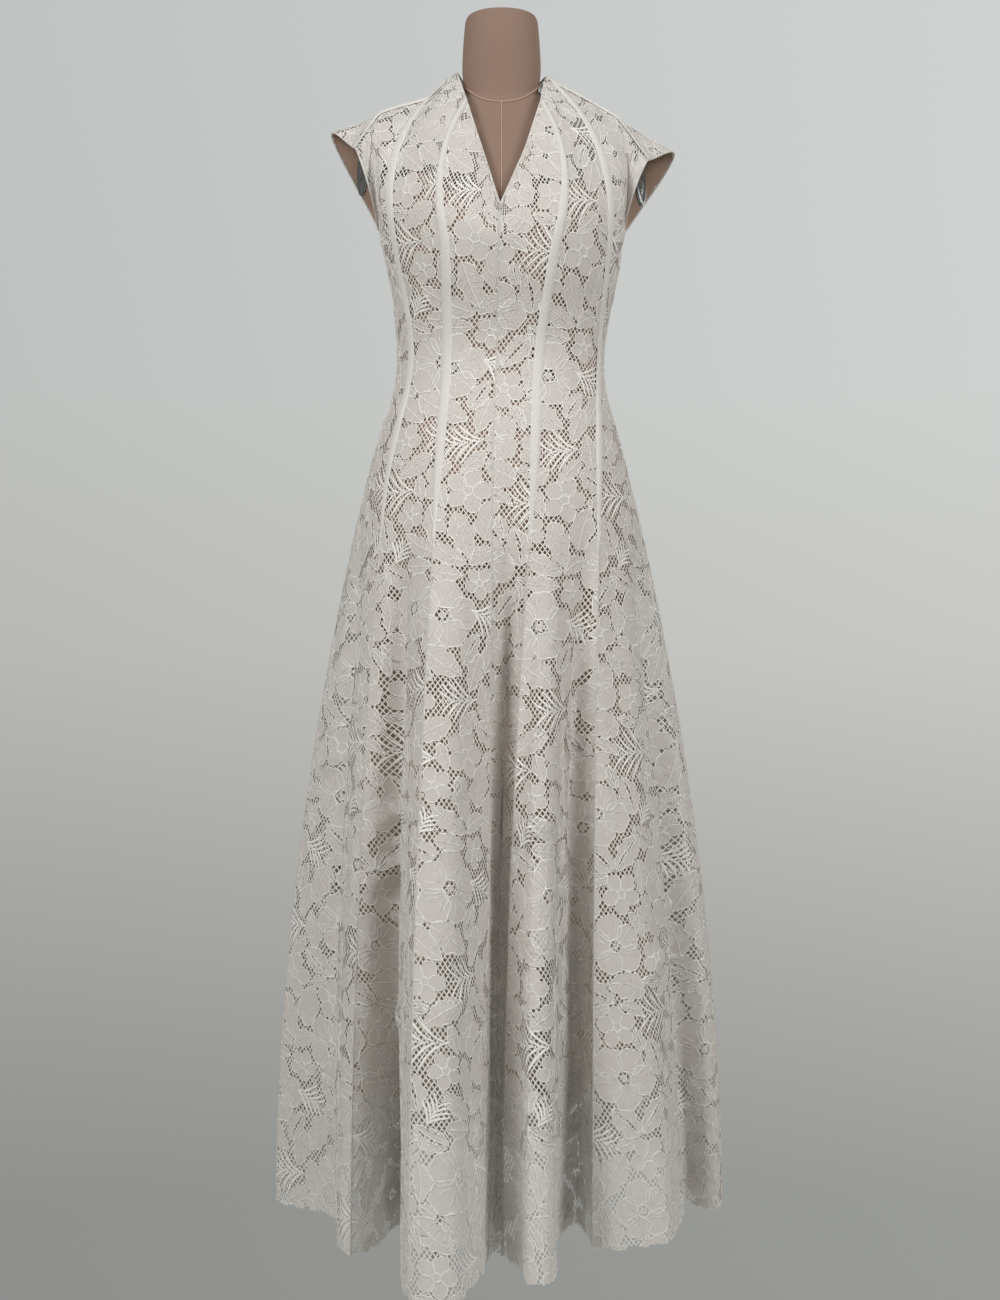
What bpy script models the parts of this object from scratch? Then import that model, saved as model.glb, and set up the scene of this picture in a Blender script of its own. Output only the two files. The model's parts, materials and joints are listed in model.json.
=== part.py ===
"""A sleeveless lace maxi dress with twelve gores, on a limbless dress form with its stand.

Metres, +Z up, the front of the dress faces -Y. The origin is the middle of the
underside of the round base, on the floor.
"""

import math

import bmesh
import bpy
import numpy as np
from mathutils import Matrix

WALL = 0.0012            # lace cloth
TAPE = 0.0010            # seam tapes
LINING_WALL = 0.0010
SEAM_GAP = 0.0003        # between pieces that are sewn edge to edge
TAPE_LIFT = 0.0008       # between a tape and the cloth that it lies on
TAPE_WIDTH = 0.0130
TAPE_BELOW_NECK = 0.0040
TAPE_BELOW_SHOULDER = 0.0078
SHOULDER_TAPE_FROM = 1.75    # counted in seams from the centre
SHOULDER_TAPE_LIFT = 0.0016
BINDING_RADIUS = 0.0013
BINDING_OUT = 0.0019     # a binding's centre beyond the edge of the cloth
ARMHOLE_BINDING_OUT = 0.0030
BINDING_START = 0.0125   # where a neck binding starts above the point of the V
BINDING_STOP = 0.0018    # and how far from the zip it stops

STAND_RISE = 0.070       # the heights below are above a level that is this far off the floor
BUST, WAIST, HIP, HEM = 1.400, 1.277, 1.121, 0.180
LINING_HEM = 0.345
LINING_TOP_ROW = 5
LINING_GAP = 0.0027      # between the lace and the slip down to the hip
LINING_DRAWN = 0.006     # how much further in the slip hangs below that
LINING_FLATTER = 0.8     # how little of a skirt lobe the slip fills
SECTION_POWER = 2.2
FLARE_POWER = 1.85       # how fast the gores swing out below the hip
FOLD_POWER = 1.45        # how late the folds between two seams deepen
TOP_ROWS = 7             # rows from the shoulder to the bust
TOP_SPACING = 1.3        # closer rows near the shoulder
ARMHOLE_ROWS = 5         # of those, the rows beside an armhole

# Plan of the body of the dress at each height, as distances from the axis.
SECTIONS = {
    # height: left, right, front, back
    1.400: (0.147, 0.156, 0.136, 0.112),
    1.362: (0.1395, 0.148, 0.124, 0.104),
    1.322: (0.1352, 0.1395, 0.108, 0.096),
    1.277: (0.1330, 0.1345, 0.096, 0.089),
    1.232: (0.1375, 0.1380, 0.100, 0.096),
    1.178: (0.1570, 0.1535, 0.118, 0.121),
    1.121: (0.1730, 0.1690, 0.137, 0.144),
}

# Sideways place of each seam on those sections. Front seams first, then the back ones.
SEAM_X = {
    # seam: at the bust, at the waist, at the hip
    ("front", 0): (-0.0020, -0.0040, -0.0097),
    ("front", 1): (-0.0667, -0.0656, -0.0757),
    ("front", 2): (-0.1305, -0.1123, -0.1428),
    ("front", -1): (0.0686, 0.0495, 0.0424),
    ("front", -2): (0.1368, 0.1266, 0.1235),
    ("back", 0): (0.0, 0.0, 0.0),
    ("back", 1): (-0.0580, -0.0450, -0.0650),
    ("back", 2): (-0.1200, -0.1020, -0.1330),
    ("back", -1): (0.0600, 0.0450, 0.0640),
    ("back", -2): (0.1260, 0.1030, 0.1300),
}

# Upper bodice: each line starts at the neckline or the shoulder seam and ends at the bust.
# "place" counts the seams from the centre, left is positive. The bow is how far the
# line swells from straight.
FRONT_GUIDES = (
    # place, top x, top y, top z, bow x, bow y, bow z
    (-3.0, 0.1890, -0.035, 1.526, -0.004, -0.036, 0.0),
    (-2.6, 0.1490, -0.012, 1.590, 0.006, -0.032, 0.004),
    (-2.0, 0.0680, -0.002, 1.638, 0.024, -0.022, 0.004),
    (-1.5, 0.0590, 0.000, 1.645, 0.013, -0.016, 0.003),
    (-1.0, 0.0520, -0.052, 1.597, 0.0185, -0.006, 0.0),
    (0.0, 0.0, -0.121, 1.4546, 0.0, -0.002, 0.0),
    (1.0, -0.0425, -0.052, 1.597, -0.018, -0.006, 0.0),
    (1.5, -0.0560, 0.000, 1.651, -0.012, -0.016, 0.003),
    (2.0, -0.0910, -0.006, 1.616, -0.023, -0.020, 0.004),
    (2.6, -0.1550, -0.012, 1.594, -0.005, -0.032, 0.004),
    (3.0, -0.1845, -0.035, 1.5405, 0.003, -0.036, 0.0),
)
BACK_GUIDES = (
    (-3.0, 0.1890, -0.035, 1.526, 0.050, 0.056, 0.052),
    (-2.6, 0.1490, -0.012, 1.590, 0.018, 0.052, 0.040),
    (-2.0, 0.0680, -0.002, 1.638, 0.016, 0.040, 0.010),
    (-1.5, 0.0590, 0.000, 1.645, 0.010, 0.034, 0.008),
    (-1.0, 0.0410, 0.046, 1.640, 0.010, 0.020, 0.002),
    (0.0, 0.0, 0.066, 1.634, 0.0, 0.014, 0.0),
    (1.0, -0.0400, 0.046, 1.640, -0.010, 0.020, 0.002),
    (1.5, -0.0560, 0.000, 1.651, -0.010, 0.034, 0.008),
    (2.0, -0.0910, -0.006, 1.616, -0.014, 0.042, 0.012),
    (2.6, -0.1550, -0.012, 1.594, -0.016, 0.052, 0.042),
    (3.0, -0.1845, -0.035, 1.5405, -0.046, 0.056, 0.066),
)
UNDERARM = {1: (-0.1570, 0.0, 1.446), -1: (0.1585, 0.0, 1.438)}    # keyed by side, left is 1

# Plan of the hem. A row for each seam, then for each bend of the folds up to the next one.
HEM_SEAMS = {
    ("front", 0): (-0.0140, -0.1690), ("front", 1): (-0.1020, -0.2890),
    ("front", 2): (-0.1780, -0.1660), ("front", 3): (-0.2927, 0.0140),
    ("front", -1): (0.0040, -0.1690), ("front", -2): (0.1120, -0.1400),
    ("front", -3): (0.2888, 0.0020),
    ("back", 0): (0.0, 0.2380), ("back", 1): (-0.1050, 0.2620),
    ("back", 2): (-0.2220, 0.1820), ("back", 3): (-0.2927, 0.0140),
    ("back", -1): (0.0920, 0.2680), ("back", -2): (0.2220, 0.1840),
    ("back", -3): (0.2888, 0.0020),
}
# From the seam nearer the centre to the one further out, x and y of each bend.
HEM_FOLDS = {
    "front_centre_left": ((-0.019, -0.205), (-0.028, -0.250), (-0.044, -0.290),
                          (-0.065, -0.300), (-0.086, -0.299)),
    "front_mid_left": ((-0.112, -0.245), (-0.114, -0.180), (-0.114, -0.115), (-0.120, -0.066),
                       (-0.132, -0.082), (-0.144, -0.118), (-0.160, -0.150)),
    "front_side_left": ((-0.190, -0.153), (-0.198, -0.120), (-0.200, -0.083), (-0.205, -0.052),
                        (-0.222, -0.031), (-0.244, -0.015), (-0.270, -0.002)),
    "front_centre_right": ((0.0055, -0.130), (0.004, -0.085), (-0.004, -0.055),
                           (-0.0115, -0.085), (-0.0145, -0.130)),
    "front_mid_right": ((0.022, -0.200), (0.031, -0.247), (0.046, -0.252), (0.060, -0.236),
                        (0.065, -0.190), (0.070, -0.125), (0.082, -0.078), (0.098, -0.060),
                        (0.106, -0.095)),
    "front_side_right": ((0.138, -0.150), (0.178, -0.135), (0.214, -0.112), (0.229, -0.050),
                         (0.239, 0.012), (0.257, -0.004), (0.277, -0.018)),
    "back_centre_left": ((-0.016, 0.205), (-0.030, 0.182), (-0.045, 0.194), (-0.056, 0.232),
                         (-0.075, 0.260)),
    "back_mid_left": ((-0.124, 0.235), (-0.129, 0.190), (-0.130, 0.152), (-0.140, 0.130),
                      (-0.154, 0.138), (-0.170, 0.163), (-0.195, 0.182)),
    "back_side_left": ((-0.243, 0.170), (-0.252, 0.147), (-0.248, 0.120), (-0.243, 0.092),
                       (-0.253, 0.070), (-0.272, 0.056), (-0.288, 0.040)),
    "back_centre_right": ((0.018, 0.215), (0.030, 0.184), (0.046, 0.180), (0.058, 0.210),
                          (0.070, 0.250)),
    "back_mid_right": ((0.116, 0.260), (0.129, 0.225), (0.134, 0.180), (0.145, 0.144),
                       (0.161, 0.137), (0.180, 0.155), (0.200, 0.176)),
    "back_side_right": ((0.242, 0.172), (0.254, 0.148), (0.253, 0.120), (0.248, 0.094),
                        (0.257, 0.068), (0.274, 0.050), (0.286, 0.028)),
}
# The column of each gore's deepest fold. The gore with none there is one broad lobe.
VALLEY_COLUMN = {
    "front_mid_left": 4, "front_side_left": 4, "front_centre_right": 3, "front_mid_right": 8,
    "front_side_right": 5, "back_centre_left": 2, "back_mid_left": 4, "back_side_left": 4,
    "back_centre_right": 3, "back_mid_right": 5, "back_side_right": 4,
}
GORES = {"centre": 0, "mid": 1, "side": 2}    # each with its seam nearer the centre
BODICE_HEIGHTS = (1.362, 1.322, 1.277, 1.232, 1.178, 1.121)
SKIRT_STEPS = (0.07, 0.15, 0.24, 0.34, 0.45, 0.56, 0.67, 0.78, 0.89, 1.0)

# The dress form, as oval rings: height, half width, front, back, tilt of the ring.
FORM_TORSO = (
    (0.930, 0.1450, 0.096, 0.108, 0.0),
    (0.975, 0.1520, 0.102, 0.114, 0.0),
    (1.060, 0.1580, 0.112, 0.122, 0.0),
    (1.121, 0.1560, 0.114, 0.120, 0.0),
    (1.178, 0.1430, 0.104, 0.106, 0.0),
    (1.232, 0.1270, 0.088, 0.084, 0.0),
    (1.277, 0.1225, 0.084, 0.077, 0.0),
    (1.322, 0.1250, 0.094, 0.083, 0.0),
    (1.362, 0.1290, 0.109, 0.090, 0.0),
    (1.400, 0.1360, 0.120, 0.097, 0.0),
    (1.440, 0.1440, 0.112, 0.100, 0.0),
    (1.480, 0.1580, 0.096, 0.096, 0.0),
    (1.500, 0.1730, 0.087, 0.091, 0.0),
    (1.520, 0.1790, 0.078, 0.086, 0.0),
    (1.540, 0.1740, 0.068, 0.079, 0.0),
    (1.556, 0.1590, 0.060, 0.072, 0.0),
    (1.568, 0.1440, 0.054, 0.068, 0.05),
    (1.588, 0.1060, 0.047, 0.060, 0.12),
    (1.604, 0.0720, 0.043, 0.053, 0.25),
    (1.626, 0.0475, 0.039, 0.0475, 0.45),
)
FORM_NECK = (
    (1.6265, 0.0470, 0.0385, 0.0470, 0.45),
    (1.645, 0.0478, 0.039, 0.0475, 0.26),
    (1.660, 0.0500, 0.0415, 0.050, 0.12),
    (1.685, 0.0500, 0.043, 0.052, 0.03),
    (1.707, 0.0485, 0.042, 0.051, 0.0),
    (1.716, 0.0460, 0.040, 0.049, 0.0),
    (1.7205, 0.0400, 0.034, 0.043, 0.0),
    (1.7220, 0.0280, 0.024, 0.030, 0.0),
)
FORM_X = 0.0020          # the form stands a little to the right of the dress's middle
FORM_SIDES = 28
FORM_POWER = 2.15
PLATE_CENTRE = {-1: (-0.1776, -0.0130, 1.516), 1: (0.1816, -0.0130, 1.503)}    # keyed by side
PLATE_TURN = math.radians(20)            # the plates look a little forwards
PLATE_HALF = (0.0016, 0.024, 0.029)      # half of its thickness, depth and height
COLLAR_RADIUS, COLLAR_HEIGHT = 0.030, 0.040
POLE_RADIUS = 0.0125
POLE_PLACE = (-0.078, 0.020)             # off the middle, behind the broad front lobe
BASE_RADIUS, BASE_HEIGHT = 0.165, 0.022
HUB_RADIUS, HUB_HEIGHT = 0.032, 0.050

ZIP_BELOW_NECK = 0.010       # the pull's pivot, below the back neck edge
SLIDER_WIDTH, SLIDER_LENGTH, SLIDER_THICK = 0.0052, 0.0090, 0.0018
ZIP_LIFT = 0.0005            # between the slider and the cloth
BRIDGE_WIDTH, BRIDGE_HOLE, BRIDGE_WALL = 0.0014, 0.0018, 0.0010
BRIDGE_REACH = 0.0032        # half of the bridge's length
PULL_LENGTH, PULL_WIDTH, PULL_THICK = 0.0240, 0.0056, 0.0010
PULL_HOLE_WIDTH, PULL_HOLE_END = 0.0026, 0.0043


def clear_scene():
    for old in list(bpy.data.objects):
        bpy.data.objects.remove(old, do_unlink=True)


def material(name, colour, roughness, metallic=0.0):
    made = bpy.data.materials.new(name)
    made.use_nodes = True
    shader = made.node_tree.nodes["Principled BSDF"]
    shader.inputs["Base Color"].default_value = (*colour, 1.0)
    shader.inputs["Roughness"].default_value = roughness
    shader.inputs["Metallic"].default_value = metallic
    return made


def object_from(name, points, faces, finish):
    mesh = bpy.data.meshes.new(name)
    mesh.from_pydata([tuple(p) for p in points], [], [tuple(f) for f in faces])
    mesh.validate()
    made = bpy.data.objects.new(name, mesh)
    bpy.context.collection.objects.link(made)
    made.data.materials.append(finish)
    return made


def smooth_read(table_x, table_y, x):
    """A smooth curve through a table's rows, read at x."""
    table_x = np.asarray(table_x, float)
    table_y = np.asarray(table_y, float)
    slopes = np.gradient(table_y, table_x, axis=0)
    i = int(np.clip(np.searchsorted(table_x, x) - 1, 0, len(table_x) - 2))
    step = table_x[i + 1] - table_x[i]
    t = (x - table_x[i]) / step
    a, b = table_y[i], table_y[i + 1]
    return (a * (2 * t ** 3 - 3 * t ** 2 + 1) + b * (3 * t ** 2 - 2 * t ** 3)
            + step * slopes[i] * (t ** 3 - 2 * t ** 2 + t) + step * slopes[i + 1] * (t ** 3 - t ** 2))


def section(height):
    heights = sorted(SECTIONS)
    return smooth_read(heights, [SECTIONS[h] for h in heights], height)


def seam_angle(face, place, height):
    """The angle of a seam on the oval section, from the centre to the side."""
    if abs(place) == 3:
        return math.copysign(math.pi / 2, place)
    x_bust, x_waist, x_hip = SEAM_X[(face, place)]
    x = smooth_read((HIP, WAIST, BUST), (x_hip, x_waist, x_bust), height)
    left, right, _, _ = section(height)
    part = -x / (left if x < 0 else right)
    return math.copysign(math.asin(min(abs(part) ** (SECTION_POWER / 2), 1.0)), part)


def on_section(face, angle, height):
    """The point at an angle from the centre of the front or the back. Left is positive."""
    left, right, front, back = section(height)
    reach = left if angle >= 0 else right
    depth = -front if face == "front" else back
    x = -math.copysign(abs(math.sin(angle)) ** (2 / SECTION_POWER), angle) * reach
    y = abs(math.cos(angle)) ** (2 / SECTION_POWER) * depth
    return np.array((x, y, height))


def between_seams(face, place, height):
    """The section point at a place counted in seams from the centre."""
    inner = int(abs(place))
    side = -1 if place < 0 else 1
    if inner == 3:
        return on_section(face, seam_angle(face, 3 * side, height), height)
    a = seam_angle(face, inner * side, height)
    b = seam_angle(face, (inner + 1) * side, height)
    return on_section(face, a + (b - a) * (abs(place) - inner), height)


def guide_point(face, guide, row):
    """The point of one guide line of the upper bodice at a row from its top."""
    place, *numbers = guide
    top = np.array(numbers[:3])
    bow = np.array(numbers[3:])
    bottom = between_seams(face, place, BUST)
    share = (row / TOP_ROWS) ** TOP_SPACING
    if abs(place) == 3:
        under = np.array(UNDERARM[1 if place > 0 else -1])
        if row > ARMHOLE_ROWS:
            return under + (bottom - under) * (row - ARMHOLE_ROWS) / (TOP_ROWS - ARMHOLE_ROWS)
        bottom = under
        share = row / ARMHOLE_ROWS
    along = np.array((share, 1 - (1 - share) ** 1.6, share))
    even = 4 * share * (1 - share)
    early = 6.75 * share * (1 - share) ** 2
    swell = np.full(3, even if face == "front" else early)
    if abs(place) == 3:
        along[1] = share
        swell[1] = even ** 0.6
    return top + (bottom - top) * along + bow * swell


def upper_point(face, place, row):
    """The upper bodice between its guide lines: straight at the top edge, rounder below."""
    guides = FRONT_GUIDES if face == "front" else BACK_GUIDES
    places = [guide[0] for guide in guides]
    points = np.array([guide_point(face, guide, row) for guide in guides])
    straight = np.array([np.interp(place, places, points[:, k]) for k in range(3)])
    rounded = smooth_read(places, points, place)
    share = min(row / TOP_ROWS / 0.4, 1.0)
    return straight * (1 - share) + rounded * share


def skirt_point(face, gore, inner_seam, step, columns, column):
    """A skirt point: the hip's section swings out to the hem's chord, and the folds deepen."""
    side = 1 if gore.endswith("left") else -1
    hip = between_seams(face, side * (inner_seam + column / columns), HIP)
    a = np.array(HEM_SEAMS[(face, inner_seam * side)])
    b = np.array(HEM_SEAMS[(face, (inner_seam + 1) * side)])
    chord = a + (b - a) * column / columns
    bends = (a, *HEM_FOLDS[gore], b)
    fold = np.array(bends[column]) - chord
    swing = 1 - (1 - step) ** FLARE_POWER
    flat = hip[:2] * (1 - swing) + chord * swing + fold * step ** FOLD_POWER
    return np.array((flat[0], flat[1], HIP + (HEM - HIP) * step))


def gore_grid(face, gore, inner_seam):
    """Rows from the top to the hem, columns from the seam nearer the centre outwards."""
    side = 1 if gore.endswith("left") else -1
    columns = len(HEM_FOLDS[gore]) + 1
    rows = []
    for row in range(TOP_ROWS + 1):
        rows.append([upper_point(face, side * (inner_seam + c / columns), row)
                     for c in range(columns + 1)])
    for height in BODICE_HEIGHTS:
        rows.append([between_seams(face, side * (inner_seam + c / columns), height)
                     for c in range(columns + 1)])
    for step in SKIRT_STEPS:
        rows.append([skirt_point(face, gore, inner_seam, step, columns, c)
                     for c in range(columns + 1)])
    return np.array(rows)


def unit(vectors):
    return vectors / np.linalg.norm(vectors, axis=-1, keepdims=True)


def grid_normals(grid):
    """Outward normals: most of a gore looks away from the axis."""
    normals = unit(np.cross(np.gradient(grid, axis=0), np.gradient(grid, axis=1)))
    away = grid * np.array((1.0, 1.0, 0.0))
    return normals if np.sum(normals * away) > 0 else -normals


def share_edge(first, second):
    """Two normals at one seam become their mean, so that the walls meet face to face."""
    mean = unit(first + second)
    first[...] = mean
    second[...] = mean


def all_gores():
    """The grids and outward normals of the twelve gores, with shared normals at the seams."""
    grids, normals = {}, {}
    for face in ("front", "back"):
        for part, inner in GORES.items():
            for side in ("left", "right"):
                name = f"{face}_{part}_{side}"
                grids[name] = gore_grid(face, name, inner)
                normals[name] = grid_normals(grids[name])
    for face in ("front", "back"):
        share_edge(normals[f"{face}_centre_left"][:, 0], normals[f"{face}_centre_right"][:, 0])
        for side in ("left", "right"):
            share_edge(normals[f"{face}_centre_{side}"][:, -1], normals[f"{face}_mid_{side}"][:, 0])
            share_edge(normals[f"{face}_mid_{side}"][:, -1], normals[f"{face}_side_{side}"][:, 0])
    for side in ("left", "right"):
        share_edge(normals[f"front_side_{side}"][ARMHOLE_ROWS:, -1],
                   normals[f"back_side_{side}"][ARMHOLE_ROWS:, -1])
        share_edge(normals[f"front_side_{side}"][0], normals[f"back_side_{side}"][0])
        for part in ("front", "back"):
            normals[f"{part}_mid_{side}"][0, -1] = normals[f"front_side_{side}"][0, 0]
        half_front = len(HEM_FOLDS[f"front_mid_{side}"]) // 2 + 1
        half_back = len(HEM_FOLDS[f"back_mid_{side}"]) // 2 + 1
        shoulder = unit(normals[f"front_mid_{side}"][0, half_front]
                        + normals[f"back_mid_{side}"][0, half_back])
        for face, half in (("front", half_front), ("back", half_back)):
            edge = normals[f"{face}_mid_{side}"][0]
            tip = edge[-1].copy()
            for c in range(half, len(edge)):
                share = (c - half) / (len(edge) - 1 - half)
                edge[c] = unit(shoulder * (1 - share) + tip * share)
    return grids, normals


def trimmed(grid, gap=SEAM_GAP / 2):
    """The grid with its outer edges drawn in, so that neighbours stay a seam gap apart."""
    grid = grid.copy()
    for edge, inside in ((grid[:, 0], grid[:, 1]), (grid[:, -1], grid[:, -2]), (grid[0], grid[1])):
        edge += unit(inside - edge) * gap * 1.25
    return grid


def wall(name, grid, normals, thickness, finish, lift=0.0):
    """A closed wall: the grid moved out by the lift, and again inwards by the thickness."""
    rows, columns = grid.shape[:2]
    outer = grid + normals * lift
    inner = outer - normals * thickness
    points = np.concatenate((outer.reshape(-1, 3), inner.reshape(-1, 3)))
    shift = rows * columns

    def index(r, c):
        return r * columns + c

    faces = []
    for r in range(rows - 1):
        for c in range(columns - 1):
            a, b, d, e = index(r, c), index(r, c + 1), index(r + 1, c), index(r + 1, c + 1)
            for triangle in ((a, d, e), (a, e, b)):
                faces.append(triangle)
                faces.append(tuple(p + shift for p in reversed(triangle)))
    rim = [index(0, c) for c in range(columns)]
    rim += [index(r, columns - 1) for r in range(1, rows)]
    rim += [index(rows - 1, c) for c in range(columns - 2, -1, -1)]
    rim += [index(r, 0) for r in range(rows - 2, 0, -1)]
    for a, b in zip(rim, rim[1:] + rim[:1]):
        faces.append((a, b, b + shift))
        faces.append((a, b + shift, a + shift))
    facing = np.cross(np.gradient(grid, axis=0), np.gradient(grid, axis=1))
    if np.sum(facing * normals) < 0:
        faces = [tuple(reversed(face)) for face in faces]
    return object_from(name, points, faces, finish)


def along_row(line, distance):
    """The point at a distance from the first point of a polyline."""
    for a, b in zip(line, line[1:]):
        length = np.linalg.norm(b - a)
        if distance <= length:
            return a + (b - a) * distance / length
        distance -= length
    return line[-1]


def seam_tape(name, lines, normals, start, finish, lift=TAPE_LIFT):
    """A strip over a seam. Each line runs from one edge over the seam to the other edge."""
    grid = np.array(lines)
    if start:
        grid[0] += unit(grid[1] - grid[0]) * start
    own = unit(np.cross(np.gradient(grid, axis=0), np.gradient(grid, axis=1)))
    own *= np.sign(np.sum(own * np.array(normals)[:, None, :], axis=2, keepdims=True))
    wall(name, grid, own, TAPE, finish, lift=lift + TAPE)


def column_line(grid, position):
    """A gore's column, or the line at a place between two of them."""
    low = min(int(position), grid.shape[1] - 2)
    return grid[:, low] + (grid[:, low + 1] - grid[:, low]) * (position - low)


def tube(name, line, radius, finish, closed):
    """A round strand along a line of points, as a curve with a bevel."""
    curve = bpy.data.curves.new(name, "CURVE")
    curve.dimensions = "3D"
    curve.bevel_depth = radius
    curve.bevel_resolution = 1
    curve.use_fill_caps = not closed
    spline = curve.splines.new("POLY")
    spline.points.add(len(line) - 1)
    for point, place in zip(spline.points, line):
        point.co = (*place, 1.0)
    spline.use_cyclic_u = closed
    made = bpy.data.objects.new(name, curve)
    bpy.context.collection.objects.link(made)
    curve.materials.append(finish)
    return made


def beyond_edge(edge, inside, normals, out=BINDING_OUT):
    """Points just past an edge of the cloth, square to it, in the middle of its wall."""
    aside = unit(np.cross(np.gradient(edge, axis=0), normals))
    aside *= np.sign(np.sum(aside * (edge - inside), axis=1, keepdims=True))
    return edge + aside * out - normals * WALL / 2


def neck_line(grids, normals, side):
    """The neck edge of one side, from the point of the V to the centre back."""
    line = []
    for face in ("front", "back"):
        centre, mid = f"{face}_centre_{side}", f"{face}_mid_{side}"
        half = len(HEM_FOLDS[mid]) // 2 + 1
        run = list(beyond_edge(grids[centre][0], grids[centre][1], normals[centre][0]))
        run += list(beyond_edge(grids[mid][0], grids[mid][1], normals[mid][0]))[1:half + 1]
        line += run if face == "front" else run[::-1][1:]
    line[0] = along_row(line, BINDING_START)
    line[-1] = line[-1] + unit(line[-2] - line[-1]) * BINDING_STOP
    return np.array(line)


def armhole_line(grids, normals, side):
    """A closed line around the armhole, lifted a little where the two gores meet below it."""
    runs = []
    rows = slice(0, ARMHOLE_ROWS + 1)
    for face in ("front", "back"):
        gore = f"{face}_side_{side}"
        runs.append(beyond_edge(grids[gore][rows, -1], grids[gore][rows, -2],
                                normals[gore][rows, -1], ARMHOLE_BINDING_OUT))
    one, two = runs
    under = (one[-1] + two[-1]) / 2
    under[2] += ARMHOLE_BINDING_OUT
    return np.concatenate((one[:-1], (under,), two[1:-1][::-1]))


def lining_ring(grids, normals, row):
    """One closed ring of the slip: a point at each seam and at each gore's deepest fold."""
    split = {}
    for face in ("front", "back"):
        order = [f"{face}_{part}_left" for part in ("side", "mid", "centre")]
        order += [f"{face}_{part}_right" for part in ("centre", "mid", "side")]
        run, flags = [], []
        for gore in order:
            inside = grids[gore] - normals[gore] * (WALL + LINING_GAP)
            line = inside[row][::-1] if gore.endswith("left") else inside[row]
            valley = VALLEY_COLUMN.get(gore)
            middle = len(line) // 2 if valley is None else valley
            if valley is not None and gore.endswith("left"):
                middle = len(line) - 1 - valley
            run += [line[0], line[middle]]
            flags += [False, valley is not None]
        run.append((inside[row])[-1])
        flags.append(False)
        split[face] = (np.array(run), np.array(flags))
    front, front_flags = split["front"]
    back, back_flags = split["back"]
    points = np.concatenate((front, back[::-1][1:-1]))
    deep = np.concatenate((front_flags, back_flags[::-1][1:-1]))
    return points, deep, len(front)


def hung_ring(points, deep, share):
    """The slip below the hip: it touches the deep folds and hardly enters the lobes."""
    count = len(points)
    hung = points.copy()
    drawn = unit(points * np.array((1.0, 1.0, 0.0))) * LINING_DRAWN * share
    for i in range(count):
        if deep[i]:
            continue
        before = next(k for k in range(1, count) if deep[(i - k) % count])
        after = next(k for k in range(1, count) if deep[(i + k) % count])
        one, two = points[(i - before) % count], points[(i + after) % count]
        chord = one + (two - one) * before / (before + after)
        hung[i] = points[i] + (chord - points[i]) * share * LINING_FLATTER
    return hung - drawn


def lining(grids, normals, finish):
    """The slip in two halves: it follows the gores to the hip, then hangs plainer."""
    rings = []
    hip_row = TOP_ROWS + len(BODICE_HEIGHTS)
    last = hip_row + sum(HIP + (HEM - HIP) * step > LINING_HEM for step in SKIRT_STEPS)
    for row in range(LINING_TOP_ROW, last + 1):
        points, deep, half = lining_ring(grids, normals, row)
        share = 0.0
        if row > hip_row:
            share = min(SKIRT_STEPS[row - hip_row - 1] / 0.3, 1.0)
        rings.append(hung_ring(points, deep, share))
    rings = np.array(rings)
    front = rings[:, :half]
    back = np.concatenate((rings[:, half - 1:], rings[:, :1]), axis=1)
    for face, grid in (("front", front), ("back", back)):
        grid = grid.copy()
        for edge, inside in ((grid[:, 0], grid[:, 1]), (grid[:, -1], grid[:, -2])):
            edge += unit(inside - edge) * SEAM_GAP
        wall(f"lining_{face}", grid, grid_normals(grid), LINING_WALL, finish)


def oval_rings(name, rings, finish):
    """A closed body through oval rings, flat at both ends."""
    made = bmesh.new()
    loops = []
    for height, half, front, back, tilt in rings:
        loop = []
        for i in range(FORM_SIDES):
            angle = 2 * math.pi * i / FORM_SIDES
            x = math.copysign(abs(math.cos(angle)) ** (2 / FORM_POWER), math.cos(angle)) * half
            y = math.copysign(abs(math.sin(angle)) ** (2 / FORM_POWER), math.sin(angle))
            y *= back if y > 0 else front
            loop.append(made.verts.new((x + FORM_X, y, height + tilt * y)))
        loops.append(loop)
    for low, high in zip(loops, loops[1:]):
        for i in range(FORM_SIDES):
            j = (i + 1) % FORM_SIDES
            made.faces.new((low[i], low[j], high[j], high[i]))
    made.faces.new(list(reversed(loops[0])))
    made.faces.new(loops[-1])
    bmesh.ops.recalc_face_normals(made, faces=made.faces)
    mesh = bpy.data.meshes.new(name)
    made.to_mesh(mesh)
    made.free()
    body = bpy.data.objects.new(name, mesh)
    bpy.context.collection.objects.link(body)
    mesh.materials.append(finish)
    mesh.shade_smooth()
    return body


def turned(name, profile, finish, sides=32, place=(0.0, 0.0)):
    """A round body from a profile of radius and height, bottom first."""
    made = bmesh.new()
    loops = []
    for radius, height in profile:
        loops.append([made.verts.new((place[0] + radius * math.cos(2 * math.pi * i / sides),
                                      place[1] + radius * math.sin(2 * math.pi * i / sides),
                                      height))
                      for i in range(sides)])
    for low, high in zip(loops, loops[1:]):
        for i in range(sides):
            j = (i + 1) % sides
            made.faces.new((low[i], low[j], high[j], high[i]))
    made.faces.new(list(reversed(loops[0])))
    made.faces.new(loops[-1])
    bmesh.ops.recalc_face_normals(made, faces=made.faces)
    mesh = bpy.data.meshes.new(name)
    made.to_mesh(mesh)
    made.free()
    body = bpy.data.objects.new(name, mesh)
    bpy.context.collection.objects.link(body)
    mesh.materials.append(finish)
    return body


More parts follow.
